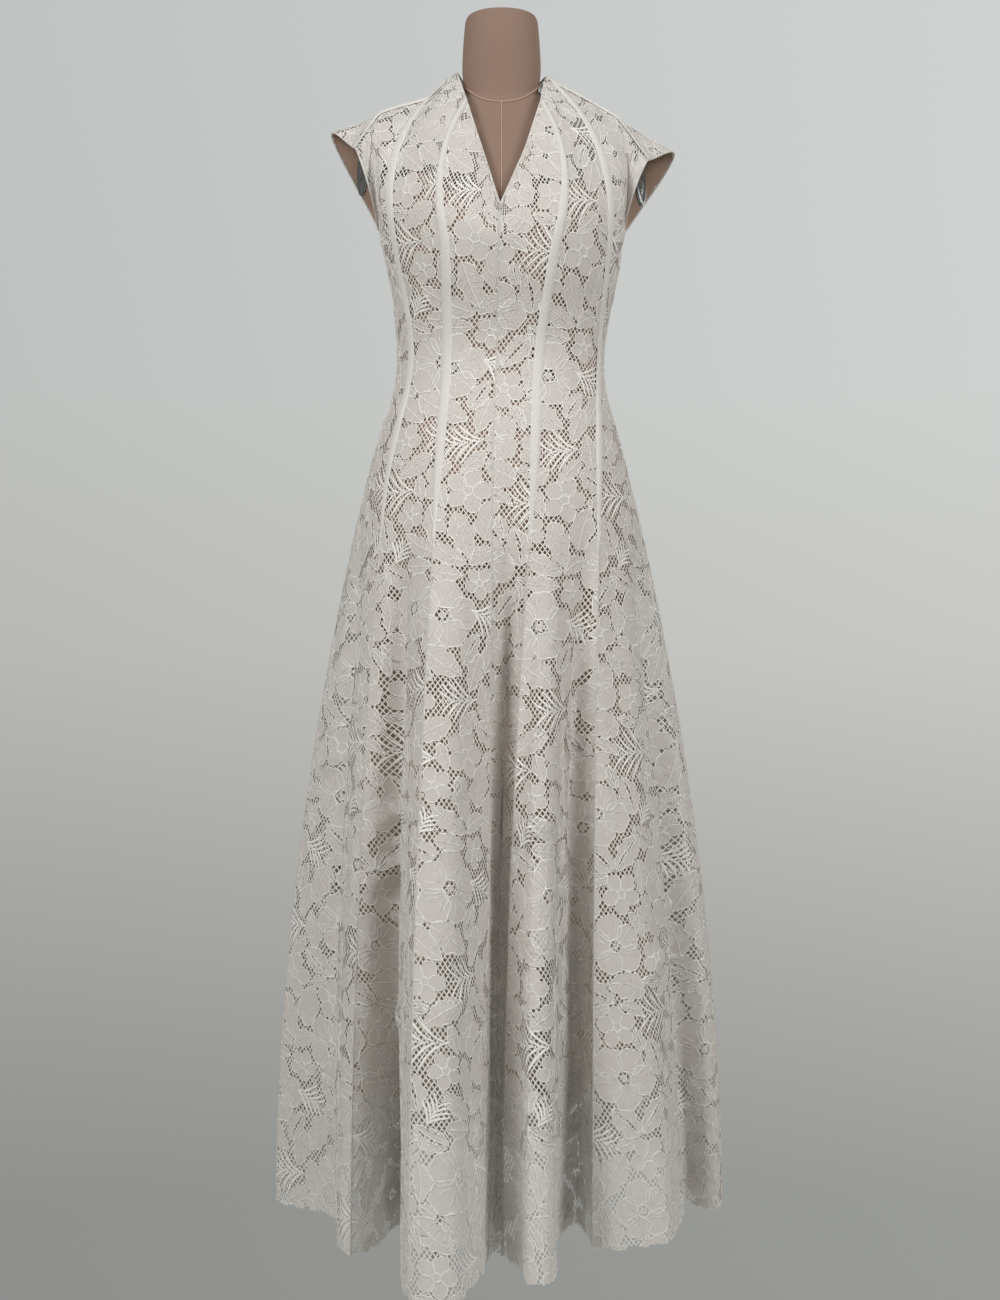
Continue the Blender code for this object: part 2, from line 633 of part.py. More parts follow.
def arm_plate(name, side, finish):
    """An oval metal plate on the side of the form, where an arm would start."""
    made = bmesh.new()
    bmesh.ops.create_cone(made, cap_ends=True, segments=24, radius1=1.0, radius2=1.0, depth=2.0)
    turn = Matrix.Rotation(math.pi / 2, 4, "Y")
    bmesh.ops.transform(made, matrix=turn, verts=made.verts)
    thick, deep, tall = PLATE_HALF
    bmesh.ops.scale(made, vec=(thick, deep, tall), verts=made.verts)
    bmesh.ops.transform(made, matrix=Matrix.Rotation(-side * PLATE_TURN, 4, "Z"), verts=made.verts)
    bmesh.ops.translate(made, vec=PLATE_CENTRE[side], verts=made.verts)
    mesh = bpy.data.meshes.new(name)
    made.to_mesh(mesh)
    made.free()
    body = bpy.data.objects.new(name, mesh)
    bpy.context.collection.objects.link(body)
    mesh.materials.append(finish)
    return body


def extruded(name, outline, width, finish):
    """A plate: an outline in its own Y and Z, as wide as given along X."""
    made = bmesh.new()
    ends = [[made.verts.new((x, y, z)) for y, z in outline] for x in (-width / 2, width / 2)]
    count = len(outline)
    for i in range(count):
        j = (i + 1) % count
        made.faces.new((ends[0][i], ends[0][j], ends[1][j], ends[1][i]))
    made.faces.new(list(reversed(ends[0])))
    made.faces.new(ends[1])
    bmesh.ops.recalc_face_normals(made, faces=made.faces)
    mesh = bpy.data.meshes.new(name)
    made.to_mesh(mesh)
    made.free()
    body = bpy.data.objects.new(name, mesh)
    bpy.context.collection.objects.link(body)
    mesh.materials.append(finish)
    return body


def helper(body):
    """A cutter or an added shape, which isn't a piece of its own."""
    body.hide_render = True
    body.display_type = "WIRE"
    return body


def combine(body, other, operation):
    change = body.modifiers.new(other.name, "BOOLEAN")
    change.operation = operation
    change.solver = "EXACT"
    change.object = other


def zip_frame(grids):
    """Where the pull turns: its own Y looks out of the back and its Z runs up the zip."""
    column = grids["back_centre_left"][:, 0]
    place = along_row(column, ZIP_BELOW_NECK)
    up = unit(column[0] - along_row(column, 2 * ZIP_BELOW_NECK))
    out = unit(np.cross(up, (1.0, 0.0, 0.0)))
    pivot = place + out * (ZIP_LIFT + SLIDER_THICK + BRIDGE_HOLE / 2)
    pivot[2] += STAND_RISE
    turn = Matrix(((1.0, 0.0, 0.0), tuple(out), tuple(up))).transposed()
    return Matrix.Translation(pivot) @ turn.to_4x4()


def build_zip(frame, finish):
    """The slider with its bridge, and the pull whose cross bar lies under the bridge."""
    floor = -BRIDGE_HOLE / 2 - SLIDER_THICK
    half = SLIDER_LENGTH / 2
    slider = extruded("zip_slider", ((floor, -half), (-BRIDGE_HOLE / 2, -half),
                                     (-BRIDGE_HOLE / 2, half), (floor, half)),
                      SLIDER_WIDTH, finish)
    low, high, top = -BRIDGE_HOLE / 2, BRIDGE_HOLE / 2, BRIDGE_HOLE / 2 + BRIDGE_WALL
    inner = BRIDGE_REACH - BRIDGE_WALL
    bridge = helper(extruded("zip_bridge", ((low - 0.0005, -BRIDGE_REACH), (low - 0.0005, -inner),
                                            (high, -inner), (high, inner),
                                            (low - 0.0005, inner), (low - 0.0005, BRIDGE_REACH),
                                            (top, BRIDGE_REACH), (top, -BRIDGE_REACH)),
                             BRIDGE_WIDTH, finish))
    combine(slider, bridge, "UNION")
    thick, bar = PULL_THICK / 2, 0.0005
    outline = ((-thick, -PULL_LENGTH), (thick, -PULL_LENGTH), (thick, bar), (-thick, bar))
    pull = extruded("zip_pull", outline, PULL_WIDTH, finish)
    hole = helper(extruded("zip_pull_hole", ((-0.002, -PULL_HOLE_END), (0.002, -PULL_HOLE_END),
                                             (0.002, -bar), (-0.002, -bar)),
                           PULL_HOLE_WIDTH, finish))
    combine(pull, hole, "DIFFERENCE")
    for body in (slider, bridge, pull, hole):
        body.matrix_world = frame


def raise_above_floor():
    """Everything but the foot of the stand and the zip stands the stand's rise higher."""
    for body in bpy.data.objects:
        if not body.name.startswith(("form_base", "form_hub", "form_pole", "zip_")):
            body.location.z += STAND_RISE


def build_gores(grids, normals, finish):
    for name, grid in grids.items():
        wall(name, trimmed(grid), normals[name], WALL, finish)


def princess_tape(name, first, second, normals, start, finish):
    """The tape over the seam between a gore and the next one out."""
    lines = []
    for row in range(TOP_ROWS + len(BODICE_HEIGHTS) + 1):
        lines.append((along_row(first[row][::-1], TAPE_WIDTH / 2), second[row][0],
                      along_row(second[row], TAPE_WIDTH / 2)))
    seam_tape(name, lines, normals[:len(lines), 0], start, finish)


def shoulder_tape(side, grids, normals, finish):
    """The tape over a shoulder seam, from near the neck to the armhole."""
    lines, ups = [], []
    for part in ("mid", "side"):
        seam = GORES[part]
        front, back = grids[f"front_{part}_{side}"], grids[f"back_{part}_{side}"]
        columns, others = front.shape[1] - 1, back.shape[1] - 1
        for c in range(columns + (part == "side")):
            if seam + c / columns < SHOULDER_TAPE_FROM:
                continue
            behind = column_line(back, c / columns * others)
            lines.append((along_row(front[:, c], TAPE_WIDTH / 2), front[0, c],
                          along_row(behind, TAPE_WIDTH / 2)))
            ups.append(normals[f"front_{part}_{side}"][0, c])
    seam_tape(f"tape_shoulder_{side}", lines, ups, 0.0, finish, lift=SHOULDER_TAPE_LIFT)


def build_tapes(grids, normals, finish):
    for side in ("left", "right"):
        for face in ("front", "back"):
            centre, mid, outer = (f"{face}_{part}_{side}" for part in ("centre", "mid", "side"))
            princess_tape(f"tape_{face}_inner_{side}", grids[centre], grids[mid], normals[mid],
                          TAPE_BELOW_NECK, finish)
            princess_tape(f"tape_{face}_outer_{side}", grids[mid], grids[outer], normals[outer],
                          TAPE_BELOW_SHOULDER, finish)
        shoulder_tape(side, grids, normals, finish)


def build_bindings(grids, normals, finish):
    for side in ("left", "right"):
        tube(f"armhole_binding_{side}", armhole_line(grids, normals, side), BINDING_RADIUS,
             finish, closed=True)
        tube(f"neck_binding_{side}", neck_line(grids, normals, side), BINDING_RADIUS,
             finish, closed=False)


def build_form(cloth, metal):
    oval_rings("form_torso", FORM_TORSO, cloth)
    oval_rings("form_neck", FORM_NECK, cloth)
    for side_name, side in (("left", -1), ("right", 1)):
        arm_plate(f"form_arm_plate_{side_name}", side, metal)


def build_stand(metal):
    """The collar under the form, its pole, and the hub on the round base."""
    torso_floor = FORM_TORSO[0][0] - SEAM_GAP
    collar_floor = torso_floor - COLLAR_HEIGHT
    turned("form_collar", ((COLLAR_RADIUS * 0.8, collar_floor),
                           (COLLAR_RADIUS, collar_floor + COLLAR_HEIGHT * 0.2),
                           (COLLAR_RADIUS, torso_floor)), metal, place=POLE_PLACE)
    turned("form_pole", ((POLE_RADIUS, HUB_HEIGHT + SEAM_GAP),
                         (POLE_RADIUS, collar_floor - SEAM_GAP + STAND_RISE)), metal, 20,
           place=POLE_PLACE)
    turned("form_hub", ((HUB_RADIUS, BASE_HEIGHT + SEAM_GAP), (HUB_RADIUS, HUB_HEIGHT - 0.012),
                        (POLE_RADIUS * 1.4, HUB_HEIGHT)), metal, 24, place=POLE_PLACE)
    turned("form_base", ((BASE_RADIUS - 0.003, 0.0), (BASE_RADIUS, 0.003),
                         (BASE_RADIUS, BASE_HEIGHT * 0.6), (BASE_RADIUS - 0.010, BASE_HEIGHT)),
           metal, 40)


def main():
    clear_scene()
    lace = material("lace", (0.86, 0.85, 0.82), 0.85)
    tape = material("tape", (0.88, 0.87, 0.84), 0.75)
    nude = material("lining", (0.55, 0.44, 0.38), 0.6)
    cloth = material("form_cloth", (0.30, 0.20, 0.16), 0.8)
    grey = material("plate_metal", (0.35, 0.36, 0.35), 0.4, 0.9)
    pale = material("stand_metal", (0.72, 0.73, 0.71), 0.4)
    white = material("zip_metal", (0.85, 0.84, 0.80), 0.4)
    grids, normals = all_gores()
    build_gores(grids, normals, lace)
    build_tapes(grids, normals, tape)
    build_bindings(grids, normals, tape)
    lining(grids, normals, nude)
    build_form(cloth, grey)
    build_stand(pale)
    build_zip(zip_frame(grids), white)
    raise_above_floor()


main()
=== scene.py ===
"""Looks of the lace maxi dress on its dress form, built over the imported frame.

Metres, +Z up, the front faces -Y. The cloth follows the same sections, guide lines and
folds as the solids, sampled more finely. The lace is a net sheet for each gore with
flowers, leaves and sprays laid on it from a flat pattern that repeats.
"""

import json
import math

import bpy
import numpy as np
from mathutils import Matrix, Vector

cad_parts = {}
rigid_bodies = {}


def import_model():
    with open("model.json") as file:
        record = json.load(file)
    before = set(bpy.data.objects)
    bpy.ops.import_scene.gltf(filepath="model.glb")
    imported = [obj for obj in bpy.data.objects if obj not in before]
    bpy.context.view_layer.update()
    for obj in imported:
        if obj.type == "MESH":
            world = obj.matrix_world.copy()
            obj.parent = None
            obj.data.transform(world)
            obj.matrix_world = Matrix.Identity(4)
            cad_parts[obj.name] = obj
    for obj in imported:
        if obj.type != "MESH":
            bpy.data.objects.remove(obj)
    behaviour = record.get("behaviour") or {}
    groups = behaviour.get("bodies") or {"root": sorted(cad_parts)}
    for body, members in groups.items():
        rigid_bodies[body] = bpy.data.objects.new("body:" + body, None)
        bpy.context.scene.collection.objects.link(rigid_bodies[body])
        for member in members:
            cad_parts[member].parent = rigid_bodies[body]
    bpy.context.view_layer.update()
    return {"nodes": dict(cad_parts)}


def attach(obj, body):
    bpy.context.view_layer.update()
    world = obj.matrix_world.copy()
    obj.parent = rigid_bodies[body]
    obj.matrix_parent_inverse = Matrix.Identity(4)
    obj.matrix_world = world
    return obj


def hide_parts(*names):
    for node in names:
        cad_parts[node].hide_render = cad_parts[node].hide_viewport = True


STAND_RISE = 0.070       # the heights below are above a level that is this far off the floor
BUST, WAIST, HIP, HEM = 1.400, 1.277, 1.121, 0.180
LINING_HEM = 0.345
LINING_TOP_ROW = 5
LINING_GAP = 0.0044      # from the lace to the slip
LINING_DRAWN = 0.012     # how much further in the slip hangs below the hip
LINING_FLATTER = 0.92    # how little of a skirt lobe the slip fills
LINING_SETTLES = 0.3     # share of the skirt's length on which that comes about
FACING_GAP = 0.0022      # from the lace to the slip that shows inside the armholes
SECTION_POWER = 2.2
FLARE_POWER = 1.85       # how fast the gores swing out below the hip
FOLD_POWER = 1.45        # how late the folds between two seams deepen
TOP_ROWS = 7             # rows from the shoulder to the bust
TOP_SPACING = 1.3        # closer rows near the shoulder
TOP_ROUNDED = 0.4        # share of those rows on which the cloth leaves the straight edge
ARMHOLE_ROWS = 5         # of those, the rows beside an armhole
TAPE_WIDTH = 0.0130
FACES, SIDES = ("front", "back"), ("left", "right")

UPPER_STEPS = 5          # fine rows for each row of the upper bodice
BODICE_STEPS = 30        # fine rows from the bust to the hip
SKIRT_STEPS = 76         # fine rows from the hip to the hem
FINE_COLUMNS = 28        # fine columns across each gore
HIP_ROW = TOP_ROWS * UPPER_STEPS + BODICE_STEPS
KINK_ROWS = 4            # rows on each side of the bust that are made smooth, twice that at the hip
KINK_PASSES = (6, 30)    # how often, at the bust and at the hip
KINK_EASE = 0.35         # how far a row moves towards its neighbours in one pass
MEASURED = 4             # places that a row is measured at for each fine column
PLACE_PASSES, PLACE_HALVINGS = 3, 11    # how often a point's row is looked for on the flat pattern
LAST = 0.0001            # keeps a place on the grid inside its last cell

SECTIONS = {
    # height: left, right, front, back
    1.400: (0.147, 0.156, 0.136, 0.112),
    1.362: (0.1395, 0.148, 0.124, 0.104),
    1.322: (0.1352, 0.1395, 0.108, 0.096),
    1.277: (0.1330, 0.1345, 0.096, 0.089),
    1.232: (0.1375, 0.1380, 0.100, 0.096),
    1.178: (0.1570, 0.1535, 0.118, 0.121),
    1.121: (0.1730, 0.1690, 0.137, 0.144),
}
SEAM_X = {
    # seam: at the bust, at the waist, at the hip
    ("front", 0): (-0.0020, -0.0040, -0.0097),
    ("front", 1): (-0.0667, -0.0656, -0.0757),
    ("front", 2): (-0.1305, -0.1123, -0.1428),
    ("front", -1): (0.0686, 0.0495, 0.0424),
    ("front", -2): (0.1368, 0.1266, 0.1235),
    ("back", 0): (0.0, 0.0, 0.0),
    ("back", 1): (-0.0580, -0.0450, -0.0650),
    ("back", 2): (-0.1200, -0.1020, -0.1330),
    ("back", -1): (0.0600, 0.0450, 0.0640),
    ("back", -2): (0.1260, 0.1030, 0.1300),
}
FRONT_GUIDES = (
    # place, top x, top y, top z, bow x, bow y, bow z
    (-3.0, 0.1890, -0.035, 1.526, -0.004, -0.036, 0.0),
    (-2.6, 0.1490, -0.012, 1.590, 0.006, -0.032, 0.004),
    (-2.0, 0.0680, -0.002, 1.638, 0.024, -0.022, 0.004),
    (-1.5, 0.0590, 0.000, 1.645, 0.013, -0.016, 0.003),
    (-1.0, 0.0520, -0.052, 1.597, 0.0185, -0.006, 0.0),
    (-0.5, 0.0320, -0.0880, 1.5258, 0.0070, -0.004, 0.0),
    (0.0, 0.0, -0.121, 1.4450, 0.0, -0.002, 0.0),
    (0.5, -0.0228, -0.0870, 1.5250, -0.0085, -0.004, 0.0),
    (1.0, -0.0425, -0.052, 1.597, -0.018, -0.006, 0.0),
    (1.5, -0.0560, 0.000, 1.651, -0.012, -0.016, 0.003),
    (2.0, -0.0910, -0.006, 1.616, -0.023, -0.020, 0.004),
    (2.6, -0.1550, -0.012, 1.594, -0.005, -0.032, 0.004),
    (3.0, -0.1845, -0.035, 1.5405, 0.003, -0.036, 0.0),
)
BACK_GUIDES = (
    (-3.0, 0.1890, -0.035, 1.526, 0.050, 0.056, 0.052),
    (-2.6, 0.1490, -0.012, 1.590, 0.018, 0.052, 0.040),
    (-2.0, 0.0680, -0.002, 1.638, 0.016, 0.040, 0.010),
    (-1.5, 0.0590, 0.000, 1.645, 0.010, 0.034, 0.008),
    (-1.0, 0.0410, 0.046, 1.640, 0.010, 0.020, 0.002),
    (0.0, 0.0, 0.066, 1.634, 0.0, 0.014, 0.0),
    (1.0, -0.0400, 0.046, 1.640, -0.010, 0.020, 0.002),
    (1.5, -0.0560, 0.000, 1.651, -0.010, 0.034, 0.008),
    (2.0, -0.0910, -0.006, 1.616, -0.014, 0.042, 0.012),
    (2.6, -0.1550, -0.012, 1.594, -0.016, 0.052, 0.042),
    (3.0, -0.1845, -0.035, 1.5405, -0.046, 0.056, 0.066),
)
UNDERARM = {1: (-0.1570, 0.0, 1.446), -1: (0.1585, 0.0, 1.438)}    # keyed by side, left is 1
HEM_SEAMS = {
    ("front", 0): (-0.0140, -0.1690), ("front", 1): (-0.1020, -0.2890),
    ("front", 2): (-0.1780, -0.1660), ("front", 3): (-0.2927, 0.0140),
    ("front", -1): (0.0040, -0.1690), ("front", -2): (0.1120, -0.1400),
    ("front", -3): (0.2888, 0.0020),
    ("back", 0): (0.0, 0.2380), ("back", 1): (-0.1050, 0.2620),
    ("back", 2): (-0.2220, 0.1820), ("back", 3): (-0.2927, 0.0140),
    ("back", -1): (0.0920, 0.2680), ("back", -2): (0.2220, 0.1840),
    ("back", -3): (0.2888, 0.0020),
}
HEM_FOLDS = {
    "front_centre_left": ((-0.019, -0.205), (-0.028, -0.250), (-0.044, -0.290),
                          (-0.065, -0.300), (-0.086, -0.299)),
    "front_mid_left": ((-0.112, -0.245), (-0.114, -0.180), (-0.114, -0.115), (-0.120, -0.066),
                       (-0.132, -0.082), (-0.144, -0.118), (-0.160, -0.150)),
    "front_side_left": ((-0.190, -0.153), (-0.198, -0.120), (-0.200, -0.083), (-0.205, -0.052),
                        (-0.222, -0.031), (-0.244, -0.015), (-0.270, -0.002)),
    "front_centre_right": ((0.0055, -0.130), (0.004, -0.085), (-0.004, -0.055),
                           (-0.0115, -0.085), (-0.0145, -0.130)),
    "front_mid_right": ((0.022, -0.200), (0.031, -0.247), (0.046, -0.252), (0.060, -0.236),
                        (0.065, -0.190), (0.070, -0.125), (0.082, -0.078), (0.098, -0.060),
                        (0.106, -0.095)),
    "front_side_right": ((0.138, -0.150), (0.178, -0.135), (0.214, -0.112), (0.229, -0.050),
                         (0.239, 0.012), (0.257, -0.004), (0.277, -0.018)),
    "back_centre_left": ((-0.016, 0.205), (-0.030, 0.182), (-0.045, 0.194), (-0.056, 0.232),
                         (-0.075, 0.260)),
    "back_mid_left": ((-0.124, 0.235), (-0.129, 0.190), (-0.130, 0.152), (-0.140, 0.130),
                      (-0.154, 0.138), (-0.170, 0.163), (-0.195, 0.182)),
    "back_side_left": ((-0.243, 0.170), (-0.252, 0.147), (-0.248, 0.120), (-0.243, 0.092),
                       (-0.253, 0.070), (-0.272, 0.056), (-0.288, 0.040)),
    "back_centre_right": ((0.018, 0.215), (0.030, 0.184), (0.046, 0.180), (0.058, 0.210),
                          (0.070, 0.250)),
    "back_mid_right": ((0.116, 0.260), (0.129, 0.225), (0.134, 0.180), (0.145, 0.144),
                       (0.161, 0.137), (0.180, 0.155), (0.200, 0.176)),
    "back_side_right": ((0.242, 0.172), (0.254, 0.148), (0.253, 0.120), (0.248, 0.094),
                        (0.257, 0.068), (0.274, 0.050), (0.286, 0.028)),
}
GORES = {"centre": 0, "mid": 1, "side": 2}    # each with its seam nearer the centre

FORM_TORSO = (
    (0.930, 0.1450, 0.096, 0.108, 0.0), (0.975, 0.1520, 0.102, 0.114, 0.0),
    (1.060, 0.1580, 0.112, 0.122, 0.0), (1.121, 0.1560, 0.114, 0.120, 0.0),
    (1.178, 0.1430, 0.104, 0.106, 0.0), (1.232, 0.1270, 0.088, 0.084, 0.0),
    (1.277, 0.1225, 0.084, 0.077, 0.0), (1.322, 0.1250, 0.094, 0.083, 0.0),
    (1.362, 0.1290, 0.109, 0.090, 0.0), (1.400, 0.1360, 0.120, 0.097, 0.0),
    (1.440, 0.1440, 0.112, 0.100, 0.0), (1.480, 0.1580, 0.096, 0.096, 0.0),
    (1.500, 0.1730, 0.087, 0.091, 0.0), (1.520, 0.1790, 0.078, 0.086, 0.0),
    (1.540, 0.1740, 0.068, 0.079, 0.0), (1.556, 0.1590, 0.060, 0.072, 0.0),
    (1.568, 0.1440, 0.054, 0.068, 0.05), (1.588, 0.1060, 0.047, 0.060, 0.12),
    (1.604, 0.0720, 0.043, 0.053, 0.25), (1.626, 0.0475, 0.039, 0.0475, 0.45),
)
FORM_NECK = (
    (1.6265, 0.0480, 0.0385, 0.0475, 0.45), (1.645, 0.0505, 0.039, 0.0475, 0.26),
    (1.660, 0.0510, 0.0410, 0.050, 0.12), (1.685, 0.0498, 0.043, 0.052, 0.03),
    (1.707, 0.0480, 0.042, 0.051, 0.0), (1.7155, 0.0468, 0.041, 0.0495, 0.0),
    (1.7205, 0.0430, 0.037, 0.046, 0.0), (1.7220, 0.0300, 0.026, 0.032, 0.0),
)
# The neck seam: how far above the foot of the neck it lies at the sides, and below it in front.
NECK_SEAM_UP, NECK_SEAM_DOWN = 0.008, 0.010
FORM_X = 0.0020
FORM_POWER = 2.15
FORM_POINTS, FORM_STEPS = 96, 5              # points round it, and fine rows for each row of its tables
FORM_SEAM_ROW = 30                           # its upright seams start at this fine row, under the dress
FORM_SEAMS = {"neck": 0.0011, "front": 0.0010, "back": 0.0007}
NECK_SEAM_LIFT, FORM_SEAM_LIFT = 0.0004, 0.0002    # how far off the cloth their middle lines lie
PLATE_CENTRE = {-1: (-0.1776, -0.0130, 1.516), 1: (0.1816, -0.0130, 1.503)}    # keyed by side
PLATE_TURN = math.radians(20)
PLATE_HALF = (0.0016, 0.024, 0.029)
PLATE_POINTS, STAND_POINTS = 48, 64
PLATE_PROFILE = (
    # outwards in half thicknesses, and size: a dished disc with a hub
    (-1, 0.97), (-1, 1.0), (0.5, 1.0), (1, 0.95), (1, 0.80), (0.4, 0.76), (0.4, 0.25), (1.6, 0.22),
    (1.6, 0.1),
)
POLE_AT = (-0.078, 0.020)
STAND = {
    # piece: its place, then radii and heights above the floor
    "collar": (POLE_AT, ((0.024, 0.9597), (0.030, 0.9677), (0.030, 0.9997))),
    "pole": (POLE_AT, ((0.0125, 0.0503), (0.0125, 0.9594))),
    "hub": (POLE_AT, ((0.032, 0.0223), (0.032, 0.036), (0.030, 0.040), (0.0185, 0.049), (0.0175, 0.050))),
    "base": ((0.0, 0.0), ((0.161, 0.0), (0.1642, 0.0012), (0.165, 0.003), (0.165, 0.0115), (0.1643, 0.0140),
                          (0.162, 0.0160), (0.155, 0.022))),
}
ZIP_FROM, ZIP_TO, ZIP_PITCH = 0.016, 0.44, 0.0016
TOOTH_HALF, TOOTH_ASIDE = (0.0011, 0.0004, 0.0005), 0.0005
RIPPLE_HEIGHT, RIPPLE_REACH = 0.0028, 0.9    # ripples in the skirt, and how far down they are full
RIPPLE_DRIFT, DRIFT_PITCH = 0.9, 4.1         # how they wander sideways on their way down
PULL_HEIGHT, PULL_REACH = 0.0004, 0.3        # faint pulls across the bodice, and how far up
PULL_PITCH = 62.0
CREASE_LIFT = 1.6
# How much deeper the folds are than the even swing of the skirt, and their half width.
VALLEY_DEEPER, VALLEY_HALF = 0.016, 0.017
VALLEY_FROM, VALLEY_TO = 0.08, 0.95
HOLLOW_EDGE, HOLLOW_ENDS = 0.010, 0.3        # width of its sides, share of its length at each end
HOLLOWS = (
    # Folds with a wide flat bottom: gore, x from and to, y of the bottom, where below the hip from and to
    ("front_centre_right", -0.0220, 0.0420, -0.118, 0.08, 0.92),
    ("front_mid_right", 0.0680, 0.1320, -0.115, 0.08, 1.00),
)
CLOTH = {
    # gore: ripples across it, where they start, where its lace pattern starts (u, v), and the place of its
    # deepest fold in HEM_FOLDS
    "front_centre_left": (1.6, 0.4, 0.030, 0.020, None), "front_centre_right": (1.2, 2.0, 0.118, 0.026, 3),
    "front_mid_left": (2.2, 1.1, 0.075, 0.010, 4), "front_mid_right": (2.4, 3.4, 0.020, 0.030, 8),
    "front_side_left": (2.6, 0.2, 0.140, 0.000, 4), "front_side_right": (2.9, 2.6, 0.060, 0.012, 5),
    "back_centre_left": (1.8, 1.5, 0.050, 0.020, 2), "back_centre_right": (1.5, 0.3, 0.125, 0.020, 3),
    "back_mid_left": (2.3, 2.8, 0.010, 0.000, 4), "back_mid_right": (2.6, 0.9, 0.090, 0.035, 5),
    "back_side_left": (2.7, 2.2, 0.170, 0.010, 4), "back_side_right": (2.5, 1.7, 0.030, 0.025, 4),
}
CREASES = (
    # gore, u and v of both ends, half width, height
    ("front_mid_left", -0.075, 0.500, -0.012, 0.462, 0.010, 0.0050),
    ("front_mid_left", -0.070, 0.525, -0.010, 0.492, 0.009, -0.0040),
    ("front_mid_left", -0.060, 0.430, 0.000, 0.395, 0.010, 0.0040),
    ("front_mid_left", -0.060, 0.690, 0.010, 0.640, 0.012, 0.0035),
    ("front_centre_left", -0.030, 0.390, 0.030, 0.360, 0.010, 0.0030),
    ("front_centre_left", -0.040, 0.640, 0.020, 0.610, 0.012, 0.0035),
    ("front_mid_right", -0.070, 0.440, -0.010, 0.415, 0.009, 0.0045),
    ("front_mid_right", 0.010, 0.560, 0.060, 0.590, 0.012, -0.0035),
    ("front_side_right", 0.010, 0.400, 0.060, 0.440, 0.012, 0.0045),
    ("front_side_right", -0.050, 0.620, 0.010, 0.590, 0.013, 0.0035),
    ("front_side_left", -0.060, 0.380, 0.000, 0.345, 0.011, 0.0035),
    ("front_side_left", -0.010, 0.700, 0.060, 0.670, 0.013, -0.0035),
    ("front_side_left", -0.030, -0.330, 0.020, -0.290, 0.010, 0.0020),
    ("front_side_right", -0.030, -0.300, 0.020, -0.335, 0.010, 0.0020),
    ("back_centre_left", -0.030, 0.350, 0.030, 0.380, 0.010, 0.0035),
    ("back_mid_left", -0.060, 0.520, 0.010, 0.480, 0.011, 0.0045),
    ("back_mid_right", -0.010, 0.410, 0.060, 0.450, 0.011, 0.0045),
    ("back_mid_right", -0.050, 0.640, 0.020, 0.600, 0.012, 0.0035),
    ("back_side_left", -0.060, 0.610, 0.000, 0.570, 0.012, 0.0040),
    ("back_side_right", 0.000, 0.420, 0.060, 0.460, 0.012, 0.0040),
    ("back_centre_right", -0.030, 0.560, 0.030, 0.530, 0.011, 0.0035),
)


def smooth_read(table_x, table_y, x):
    """A smooth curve through a table's rows, read at every x."""
    table_x = np.asarray(table_x, float)
    table_y = np.asarray(table_y, float)
    x = np.atleast_1d(np.asarray(x, float))
    slopes = np.gradient(table_y, table_x, axis=0)
    i = np.clip(np.searchsorted(table_x, x) - 1, 0, len(table_x) - 2)
    step = table_x[i + 1] - table_x[i]
    t = (x - table_x[i]) / step
    if table_y.ndim > 1:
        t, step = t[:, None], step[:, None]
    a, b = table_y[i], table_y[i + 1]
    return (a * (2 * t ** 3 - 3 * t ** 2 + 1) + b * (3 * t ** 2 - 2 * t ** 3)
            + step * slopes[i] * (t ** 3 - 2 * t ** 2 + t) + step * slopes[i + 1] * (t ** 3 - t ** 2))


def unit(vectors):
    return vectors / np.maximum(np.linalg.norm(vectors, axis=-1, keepdims=True), 1e-9)


def turns(count):
    """Even angles round a full turn."""
    return np.linspace(0, 2 * math.pi, count, endpoint=False)


def steps_along(grid, axis):
    """The lengths of a grid's steps along one axis."""
    return np.linalg.norm(np.diff(grid, axis=axis), axis=2)


def eased(share):
    share = np.clip(share, 0, 1)
    return share * share * (3 - 2 * share)


def section(height):
    heights = sorted(SECTIONS)
    return smooth_read(heights, [SECTIONS[h] for h in heights], height)[0]


def seam_angle(face, place, height):
    """The angle of a seam on the oval section, from the centre to the side."""
    if abs(place) == 3:
        return math.copysign(math.pi / 2, place)
    x_bust, x_waist, x_hip = SEAM_X[(face, place)]
    x = smooth_read((HIP, WAIST, BUST), (x_hip, x_waist, x_bust), height)[0]
    left, right, _, _ = section(height)
    part = -x / (left if x < 0 else right)
    return math.copysign(math.asin(min(abs(part) ** (SECTION_POWER / 2), 1.0)), part)


def across_gore(face, side, inner, shares, height):
    """Points of a section from a gore's inner seam to its outer one."""
    a = seam_angle(face, inner * side, height)
    b = seam_angle(face, (inner + 1) * side, height)
    angle = a + (b - a) * np.asarray(shares, float)
    left, right, front, back = section(height)
    reach = np.where(angle > 0, left, np.where(angle < 0, right, left if side > 0 else right))
    depth = -front if face == "front" else back
    x = -np.sign(angle) * np.abs(np.sin(angle)) ** (2 / SECTION_POWER) * reach
    y = np.abs(np.cos(angle)) ** (2 / SECTION_POWER) * depth
    return np.stack((x, y, np.full(len(angle), height)), axis=1)


